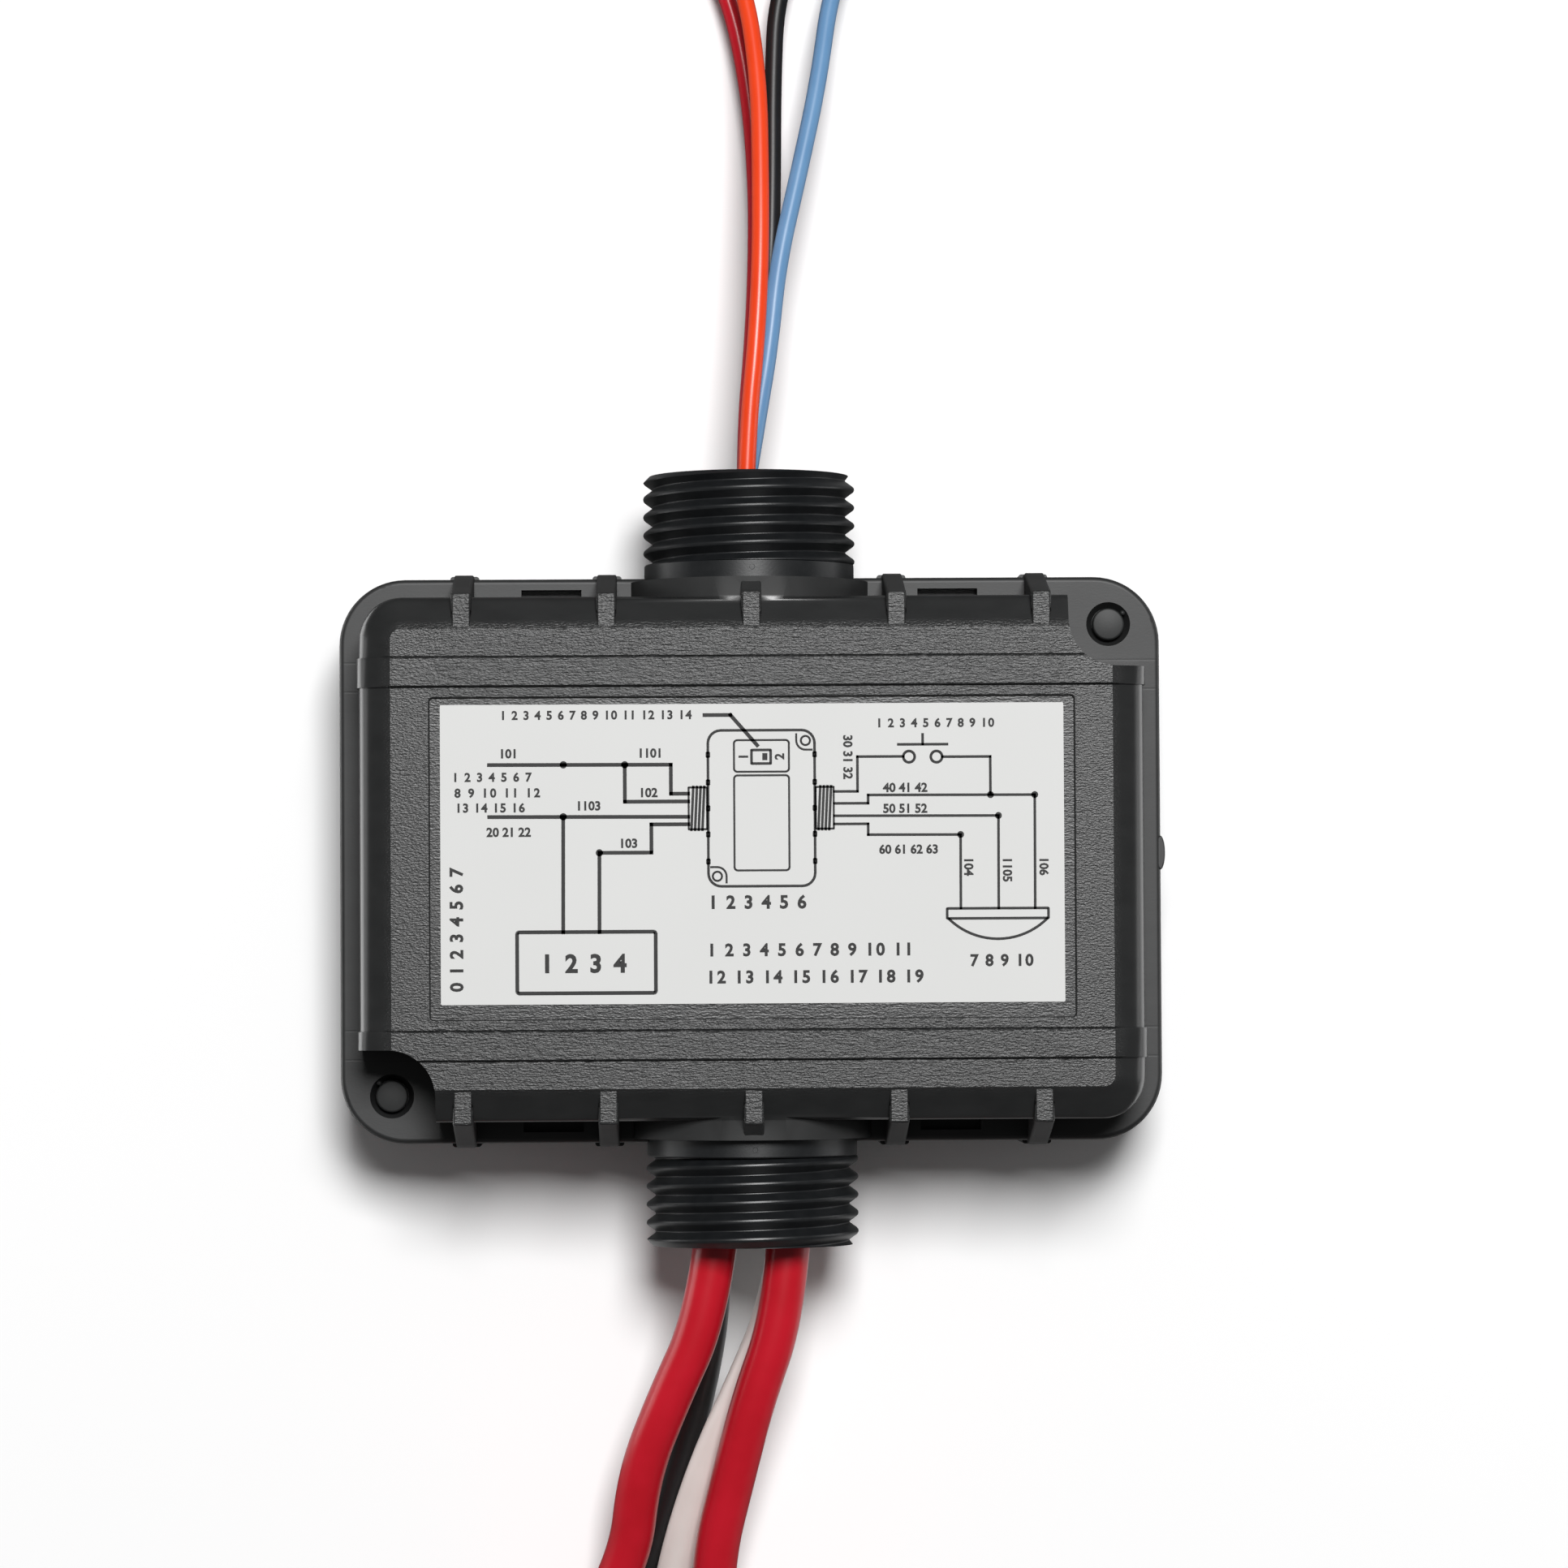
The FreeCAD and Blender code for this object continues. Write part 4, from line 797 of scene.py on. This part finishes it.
# %% [markdown]
# The nipples are moulded nylon with a plain collar and a half inch thread, 14 turns to the inch.
# A thread could be a bump on a cylinder, but its teeth show against the table at both sides. So
# one zigzag is spun a full turn while it climbs one pitch: its end then meets its own start one
# tooth further on, and merging the seam makes a true right-hand helix. Two flat cuts trim the
# helix to the barrel's length, and the faces between the thread and the bore close it.
# %% Thread
thread_pitch = 25.4 * mm / 14
thread_crest = 10.6 * mm
crest_round = 0.35 * mm
root_round = 0.12 * mm
flank_slope = math.radians(54)
thread_turn_steps = 96
thread_start = 0.1
mouth_radius = 7.9 * mm
lead_in = 0.6 * mm


def tooth_profile():
    """Radius and level along one pitch: half a root, a round crest and half a root."""
    flank_run = thread_pitch / 2 - (crest_round + root_round) * math.sin(flank_slope)
    arcs_rise = (crest_round + root_round) * (1 - math.cos(flank_slope))
    root = thread_crest - arcs_rise - flank_run * math.tan(flank_slope)
    angles = [flank_slope * share for share in (-1, -0.5, 0, 0.5, 1)]
    crest = [(thread_crest - crest_round * (1 - math.cos(a)), crest_round * math.sin(a))
             for a in angles]
    half_root = [(root + root_round * (1 - math.cos(a)), root_round * math.sin(a))
                 for a in angles]
    return ([(radius, level - thread_pitch / 2) for radius, level in half_root[2:]] + crest
            + [(radius, level + thread_pitch / 2) for radius, level in half_root[:2]])


def cut_flat(bm, place, outwards):
    """Cut away what lies beyond a plane, and return the cut's edges and vertices."""
    cut = bmesh.ops.bisect_plane(bm, geom=bm.verts[:] + bm.edges[:] + bm.faces[:],
                                 dist=tolerance / 10, plane_co=place, plane_no=outwards,
                                 clear_outer=True)
    return cut["geom_cut"]


def thread_shell(low, high):
    """Closed sleeve between two levels, threaded outside and plain inside."""
    bm = bmesh.new()
    first = math.floor(low / thread_pitch) - 2
    last = math.ceil(high / thread_pitch) + 2
    points = [(radius, (turn + thread_start) * thread_pitch + level)
              for turn in range(first, last) for radius, level in tooth_profile()]
    bmesh.ops.spin(bm, geom=chain(bm, points), cent=(0, 0, 0), axis=(0, 0, 1),
                   dvec=(0, 0, thread_pitch / thread_turn_steps), angle=math.tau,
                   steps=thread_turn_steps, use_merge=False)
    bmesh.ops.remove_doubles(bm, verts=bm.verts, dist=tolerance)
    for level, keep in ((low, -1), (high, 1)):
        cut_flat(bm, (0, 0, level), (0, 0, keep))
    for vert in bm.verts:
        reach = math.hypot(vert.co.x, vert.co.y)
        limit = thread_crest - max(0.0, vert.co.z - (high - lead_in))
        if reach > limit:
            vert.co.x *= limit / reach
            vert.co.y *= limit / reach
    rim = [edge for edge in bm.edges if edge.is_boundary]
    for level in (low, high):
        bmesh.ops.create_circle(bm, segments=thread_turn_steps, radius=mouth_radius,
                                matrix=Matrix.Translation((0, 0, level)))
    circles = [edge for edge in bm.edges if edge.is_wire]
    for level in (low, high):
        ring = [edge for edge in rim + circles
                if all(abs(vert.co.z - level) < tolerance for vert in edge.verts)]
        bmesh.ops.triangle_fill(bm, edges=ring, use_beauty=True)
    bmesh.ops.bridge_loops(bm, edges=circles)
    return bm


print("thread pitch", round(thread_pitch / mm, 3), "mm")

# %% [markdown]
# Behind the thread the nipple has a collar, a neck through the housing's wall and a flange inside.
# The neck and flange are copied from the frame's own node, merged, and cut off at the housing's
# side, because they already fit there. The collar is a turned ring with a small gate mark on its
# upper side, where the moulding was cut from its runner.
# %% Nipples
nipple_root = 27.85 * mm
nipple_axis = 13.6 * mm
nipple_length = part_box("sensor_nipple")[1].y - nipple_root
plug_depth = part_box("sensor_wire_plug")[0].y - nipple_root
collar_length = 1.7 * mm
collar_radius = 10.5 * mm
collar_round = 0.12 * mm
sleeve_radius = 9.2 * mm
inner_radius = 7.2 * mm
thread_overlap = 0.05 * mm
gate_foot_radius, gate_top_radius, gate_depth = 0.32 * mm, 0.24 * mm, 0.12 * mm
gate_x, gate_reach, gate_level = 0.15 * mm, collar_radius - 0.02 * mm, 0.9 * mm
collar_profile = [(inner_radius, 0.0), (collar_radius, 0.0),
                  (collar_radius, collar_length - collar_round),
                  (collar_radius - collar_round, collar_length), (sleeve_radius, collar_length),
                  (sleeve_radius, plug_depth), (inner_radius, plug_depth)]


def inner_half(node_name, side):
    """Merged copy of a node's part that lies inside the housing."""
    bm = merged_copy(node_name)
    cut = cut_flat(bm, (0, side * nipple_root, 0), (0, side, 0))
    rim = [item for item in cut if isinstance(item, bmesh.types.BMEdge)]
    bmesh.ops.triangle_fill(bm, edges=rim, use_beauty=True)
    return bm


for side, node_name in ((1, "sensor_nipple"), (-1, "line_nipple")):
    nipple_bm = thread_shell(collar_length - thread_overlap, nipple_length)
    turned(nipple_bm, collar_profile)
    gate = Matrix.Translation((gate_x, -side * gate_reach, gate_level))
    bmesh.ops.create_cone(nipple_bm, cap_ends=True, segments=14, radius1=gate_foot_radius,
                          radius2=gate_top_radius, depth=gate_depth,
                          matrix=gate @ Matrix.Rotation(math.radians(90 * side), 4, "X"))
    bmesh.ops.recalc_face_normals(nipple_bm, faces=nipple_bm.faces)
    nipple_bm.transform(Matrix.Translation((0, side * nipple_root, nipple_axis))
                        @ Matrix.Rotation(math.radians(-90 * side), 4, "X"))
    add_part(nipple_bm, inner_half(node_name, side))
    nipple = finish_piece(node_name + "_threaded", nipple_bm, "nipple_plastic", sharp_angle=24)
    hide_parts(node_name)
    print(nipple.name, "faces", len(nipple.data.polygons))

# %% [markdown]
# The label is a white film with a wiring sketch: the pack in the middle, the mains and the load at
# the left, and a push switch and the sensor at the right. An image texture could carry it, but
# lines drawn as thin bars of ink stay sharp at any distance. All places on the label are in
# millimetres from its middle, and every mark goes into one mesh.
# %% Ink tools
ink_height = 0.02 * mm
label_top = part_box("wiring_label")[1].z
thick_line = 0.37
thin_line = 0.26
fine_line = 0.2
arc_overrun = 0.02
square_corner = 0.02
print_bm = bmesh.new()


def on_label(x, y):
    """Matrix that moves a mark to its place on the label."""
    return Matrix.Translation((x, y, label_top + ink_height / 2))


def ink_bar(start, end, width, overrun=None):
    """Straight bar of ink between two places, longer by its width or by a chosen overrun."""
    run = Vector(end) - Vector(start)
    middle = (Vector(start) + Vector(end)) / 2 * mm
    length = run.length + (width if overrun is None else overrun)
    matrix = (on_label(middle.x, middle.y) @ Matrix.Rotation(math.atan2(run.y, run.x), 4, "Z")
              @ Matrix.Diagonal((length * mm, width * mm, ink_height, 1.0)))
    bmesh.ops.create_cube(print_bm, size=1.0, matrix=matrix)


def ink_path(points, width, overrun=None):
    """Bars of ink along a path."""
    for start, end in zip(points, points[1:]):
        ink_bar(start, end, width, overrun)


def arc(centre, radius, start, end, steps=8):
    """Points on an arc, with its angles in degrees."""
    return [(centre[0] + radius * math.cos(math.radians(start + (end - start) * step / steps)),
             centre[1] + radius * math.sin(math.radians(start + (end - start) * step / steps)))
            for step in range(steps + 1)]


def ink_ring(centre, radius, width):
    """Thin circle of ink."""
    ink_path(arc(centre, radius, 0, 360, 28), width, arc_overrun)


def ink_dot(centre, radius):
    """Round dot of ink."""
    bmesh.ops.create_cone(print_bm, cap_ends=True, segments=24, radius1=radius * mm,
                          radius2=radius * mm, depth=ink_height,
                          matrix=on_label(centre[0] * mm, centre[1] * mm))


def ink_frame(low, high, radius, width):
    """Rectangle of ink with round corners."""
    path = []
    for centre_x, centre_y, start in ((high[0] - radius, high[1] - radius, 0),
                                      (low[0] + radius, high[1] - radius, 90),
                                      (low[0] + radius, low[1] + radius, 180),
                                      (high[0] - radius, low[1] + radius, 270)):
        path += arc((centre_x, centre_y), radius, start, start + 90, 6)
    ink_path(path + path[:1], width, arc_overrun)


# %% Sketch of the pack
pack_low, pack_high = (-4.34, -2.81), (6.13, 12.49)
lug_radius, lug_side = 0.9, 0.7
fin_half_width, fin_half_length = 0.12, 0.2
nipple_low, nipple_high = 2.8, 6.9
thread_lean, thread_over = 0.1, 0.05
for low, high, corner, width in ((pack_low, pack_high, 1.27, thin_line),
                                 ((-1.78, 8.42), (3.61, 11.52), 0.32, fine_line),
                                 ((-1.78, -1.26), (3.61, 8.06), 0.32, fine_line),
                                 ((-0.06, 9.22), (1.82, 10.55), square_corner, thin_line)):
    ink_frame(low, high, corner, width)
ink_bar((1.25, 9.55), (1.25, 10.24), 0.5, 0.0)
ink_path([(-4.65, 14.0), (-2.11, 14.0), (0.5, 11.02)], thick_line)
for centre, sign in (((5.24, 11.46), 1), ((-3.47, -1.82), -1)):
    ink_ring(centre, 0.45, fine_line)
    lug = [(centre[0] - sign * lug_radius, centre[1] + sign * lug_side)]
    lug += arc(centre, lug_radius, 180 if sign > 0 else 0, 270 if sign > 0 else 90)
    lug += [(centre[0] + sign * lug_side, centre[1] - sign * lug_radius)]
    ink_path(lug, fine_line, arc_overrun)
for fin_level in (10.1, 7.39, 4.84, 2.29, -0.37):
    for edge in (pack_low[0], pack_high[0]):
        ink_frame((edge - fin_half_width, fin_level - fin_half_length),
                  (edge + fin_half_width, fin_level + fin_half_length), square_corner, fine_line)
for left, right_edge in ((-6.25, -4.45), (6.22, 7.98)):
    ink_frame((left, nipple_low), (right_edge, nipple_high), square_corner, fine_line)
    for line in range(1, 5):
        middle = left + (right_edge - left) * line / 5
        ink_bar((middle - thread_lean, nipple_low - thread_over),
                (middle + thread_lean, nipple_high + thread_over), thin_line)
print("faces of the pack's sketch", len(print_bm.faces))

# %% Wiring on both sides
line_side = (
    [(-25.8, 9.2), (-7.98, 9.15), (-7.98, 6.3), (-6.29, 6.3)],
    [(-12.5, 9.16), (-12.5, 5.54), (-6.29, 5.54)], [(-25.8, 4.1), (-6.29, 4.03)],
    [(-18.55, 4.09), (-18.6, -7.23)],
    [(-6.29, 3.3), (-9.92, 3.3), (-9.92, 0.54), (-15.02, 0.54), (-15.05, -7.23)])
for path in line_side:
    ink_path(path, thick_line)
for centre in ((-18.52, 9.19), (-12.5, 9.16), (-18.55, 4.09), (-15.02, 0.54)):
    ink_dot(centre, 0.36)
ink_frame((-23.12, -13.2), (-9.55, -7.21), 0.2, thick_line)

sensor_side = (
    [(8.05, 6.44), (10.33, 6.44), (10.33, 9.85), (14.83, 9.85)],
    [(18.68, 9.8), (23.38, 9.8), (23.38, 6.05)], [(14.36, 11.03), (19.14, 11.03)],
    [(16.75, 11.03), (16.75, 12.0)],
    [(8.05, 5.27), (11.36, 5.27), (11.36, 6.08), (27.73, 6.03), (27.7, -5.1)],
    [(8.05, 4.05), (24.15, 4.0), (24.12, -5.1)],
    [(8.05, 3.25), (11.35, 3.25), (11.35, 2.18), (20.42, 2.15), (20.4, -5.1)])
for path in sensor_side:
    ink_path(path, thin_line)
for centre in ((15.4, 9.82), (18.1, 9.81)):
    ink_ring(centre, 0.56, thin_line)
for centre in ((23.38, 6.05), (27.73, 6.03), (24.15, 4.0), (20.42, 2.15)):
    ink_dot(centre, 0.34)
ink_frame((19.05, -6.08), (29.0, -5.1), 0.05, thin_line)
ink_path(arc((24.05, -1.2), 6.9, 225, 315, 20), thin_line, arc_overrun)
print("faces with the wiring", len(print_bm.faces))

# %% [markdown]
# Numerals stand where the label has its words. They come from the built-in font, and are made a
# mesh before they are scaled and placed. A row that has to fill a width has its numerals set
# further apart, because stretched ones would look like another font.
# %% Numerals
small_height = 0.95
stroke_gain = 0.035
label_numerals = [
    ("1 2 3 4 5 6 7 8 9 10 11 12 13 14", (-15.2, 14.05), 0, 18.6),
    ("101", (-23.9, 10.3)),
    ("1 2 3 4 5 6 7", (-25.4, 8.0), 0, 7.6),
    ("8 9 10 11 12", (-25.0, 6.45), 0, 8.4),
    ("13 14 15 16", (-25.6, 5.0), 0, 6.6),
    ("20 21 22", (-23.9, 2.6)),
    ("1101", (-10.0, 10.3)),
    ("102", (-10.1, 6.42)),
    ("1103", (-16.0, 5.15)),
    ("103", (-12.1, 1.46)),
    ("0 1 2 3 4 5 6 7", (-29.05, -6.9), 90, 12.2, 1.4),
    ("1234", (-16.4, -10.3), 0, 8.0, 1.9),
    ("1 2 3 4 5 6", (0.6, -4.35), 0, 9.3, 1.4),
    ("1 2 3 4 5 6 7 8 9 10 11", (5.6, -9.05), 0, 19.6, 1.35),
    ("12 13 14 15 16 17 18 19", (6.2, -11.7), 0, 21.0, 1.35),
    ("1 2 3 4 5 6 7 8 9 10", (18.1, 13.15), 0, 11.4),
    ("30 31 32", (9.4, 9.8), -90),
    ("40 41 42", (15.0, 6.8)),
    ("50 51 52", (15.0, 4.75)),
    ("60 61 62 63", (15.3, 0.75)),
    ("104", (21.2, -1.1), -90),
    ("1105", (25.0, -1.4), -90),
    ("106", (28.6, -1.1), -90),
    ("7 8 9 10", (24.4, -10.2), 0, 6.2, 1.25),
    ("1", (-0.86, 9.9), 90),
    ("2", (2.68, 9.9), 90),
]


def set_row(text, spacing):
    """Mesh of a row of numerals at a chosen spacing, with its lowest and highest corners."""
    font = bpy.data.curves.new("numerals", "FONT")
    font.body = text
    font.extrude = 0.5
    font.offset = stroke_gain
    font.resolution_u = 3
    font.space_character = spacing
    mesh = mesh_of(font)
    spots = [vertex.co for vertex in mesh.vertices]
    low = Vector([min(spot[axis] for spot in spots) for axis in range(3)])
    high = Vector([max(spot[axis] for spot in spots) for axis in range(3)])
    return mesh, low, high


def numeral_row(text, centre, turn=0, width=None, height=small_height):
    """Row of numerals about a place on the label, turned in degrees."""
    mesh, low, high = set_row(text, 1.0)
    scale = height * mm / (high.y - low.y)
    if width is not None:
        wide_mesh, wide_low, wide_high = set_row(text, 2.0)
        bpy.data.meshes.remove(mesh)
        bpy.data.meshes.remove(wide_mesh)
        natural = high.x - low.x
        spacing = 1 + (width * mm / scale - natural) / (wide_high.x - wide_low.x - natural)
        mesh, low, high = set_row(text, spacing)
    mesh.transform(on_label(centre[0] * mm, centre[1] * mm)
                   @ Matrix.Rotation(math.radians(turn), 4, "Z")
                   @ Matrix.Diagonal((scale, scale, ink_height / (high.z - low.z), 1.0))
                   @ Matrix.Translation(-(low + high) / 2))
    print_bm.from_mesh(mesh)
    bpy.data.meshes.remove(mesh)


for numeral in label_numerals:
    numeral_row(*numeral)
label_print = add_object("label_print", finished_mesh("label_print", print_bm))
finishes["ink"] = plain_finish("ink_finish", (0.005, 0.005, 0.005), (0.008, 0.008, 0.008), 0.6)
dress(label_print, "ink")
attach(label_print, "housing")
print("label print faces", len(label_print.data.polygons))

# %% [markdown]
# The pack lies on a plain pale table. One large sheet is enough, and it is stage, not object. It
# lights the pack from below but isn't mirrored in it, because the real one was taken in a dark
# room, where the steep sides had nothing pale to reflect.
# %% Table
table_half = 1.5
table_bm = bmesh.new()
bmesh.ops.create_grid(table_bm, x_segments=1, y_segments=1, size=table_half)
table = add_object("table", finished_mesh("table", table_bm))
table_finish = new_finish("table_finish", 0.7, specular=0.2)
tint(table_finish, pattern(table_finish, 3), (0.93, 0.93, 0.93), (0.94, 0.94, 0.94))
table.data.materials.append(table_finish)
table.visible_glossy = False

# %% [markdown]
# Most of the light comes from one soft lamp high up on the sensor's side, about 20 degrees from
# straight above, so that faces that lie flat shine pale and the sloped shoulders stay dark. One
# broad dome of light would be simpler, but it would grey every slope alike. Four glowing cards lie
# flat on the table round the pack, and two panels stand at its ends: they draw the thin bright
# lines along the foot of its shoulders. The standard view keeps the reds as full as painted here.
# %% Lights
card_level = 0.001
card_size = (0.1, 0.02)
panel_level = 0.042
panel_size, panel_radiance, panel_reach = (0.11, 0.08), 2.2, 0.3
overhead_place, overhead_size, overhead_radiance = (0.12, 0.56, 1.5), (0.5, 0.5), 35.0
flat_lamps = (("left_card", -0.1, 0.0, (0.08, 0.11), 3.6), ("right_card", 0.11, 0.0, (0.1, 0.11), 2.2),
              ("upper_card", 0.0, 0.05, card_size, 0.15), ("lower_card", 0.0, -0.05, card_size, 0.5))


def soft_lamp(name, place, size, radiance, target):
    """Rectangular lamp of one brightness that faces a target and isn't seen itself."""
    data = bpy.data.lights.new(name, "AREA")
    data.shape = "RECTANGLE"
    data.size, data.size_y = size
    data.energy = radiance * math.pi * size[0] * size[1]
    lamp = add_object(name, data)
    facing = (Vector(target) - Vector(place)).to_track_quat("-Z", "Y")
    lamp.matrix_world = Matrix.Translation(place) @ facing.to_matrix().to_4x4()
    lamp.visible_camera = False


soft_lamp("overhead", overhead_place, overhead_size, overhead_radiance, (0, 0, 0.02))
for name, x, y, size, radiance in flat_lamps:
    soft_lamp(name, (x, y, card_level), size, radiance, (x, y, 1.0))
for name, x in (("left_panel", -panel_reach), ("right_panel", panel_reach)):
    soft_lamp(name, (x, 0.0, panel_level), panel_size, panel_radiance, (0.0, 0.0, panel_level))
world = bpy.data.worlds.new("studio")
world.use_nodes = True
world.node_tree.nodes["Background"].inputs["Color"].default_value = (1.0, 1.0, 1.0, 1.0)
world.node_tree.nodes["Background"].inputs["Strength"].default_value = 0.1
bpy.context.scene.world = world
bpy.context.scene.view_settings.view_transform = "Standard"
print("lamps", len(bpy.data.lights))
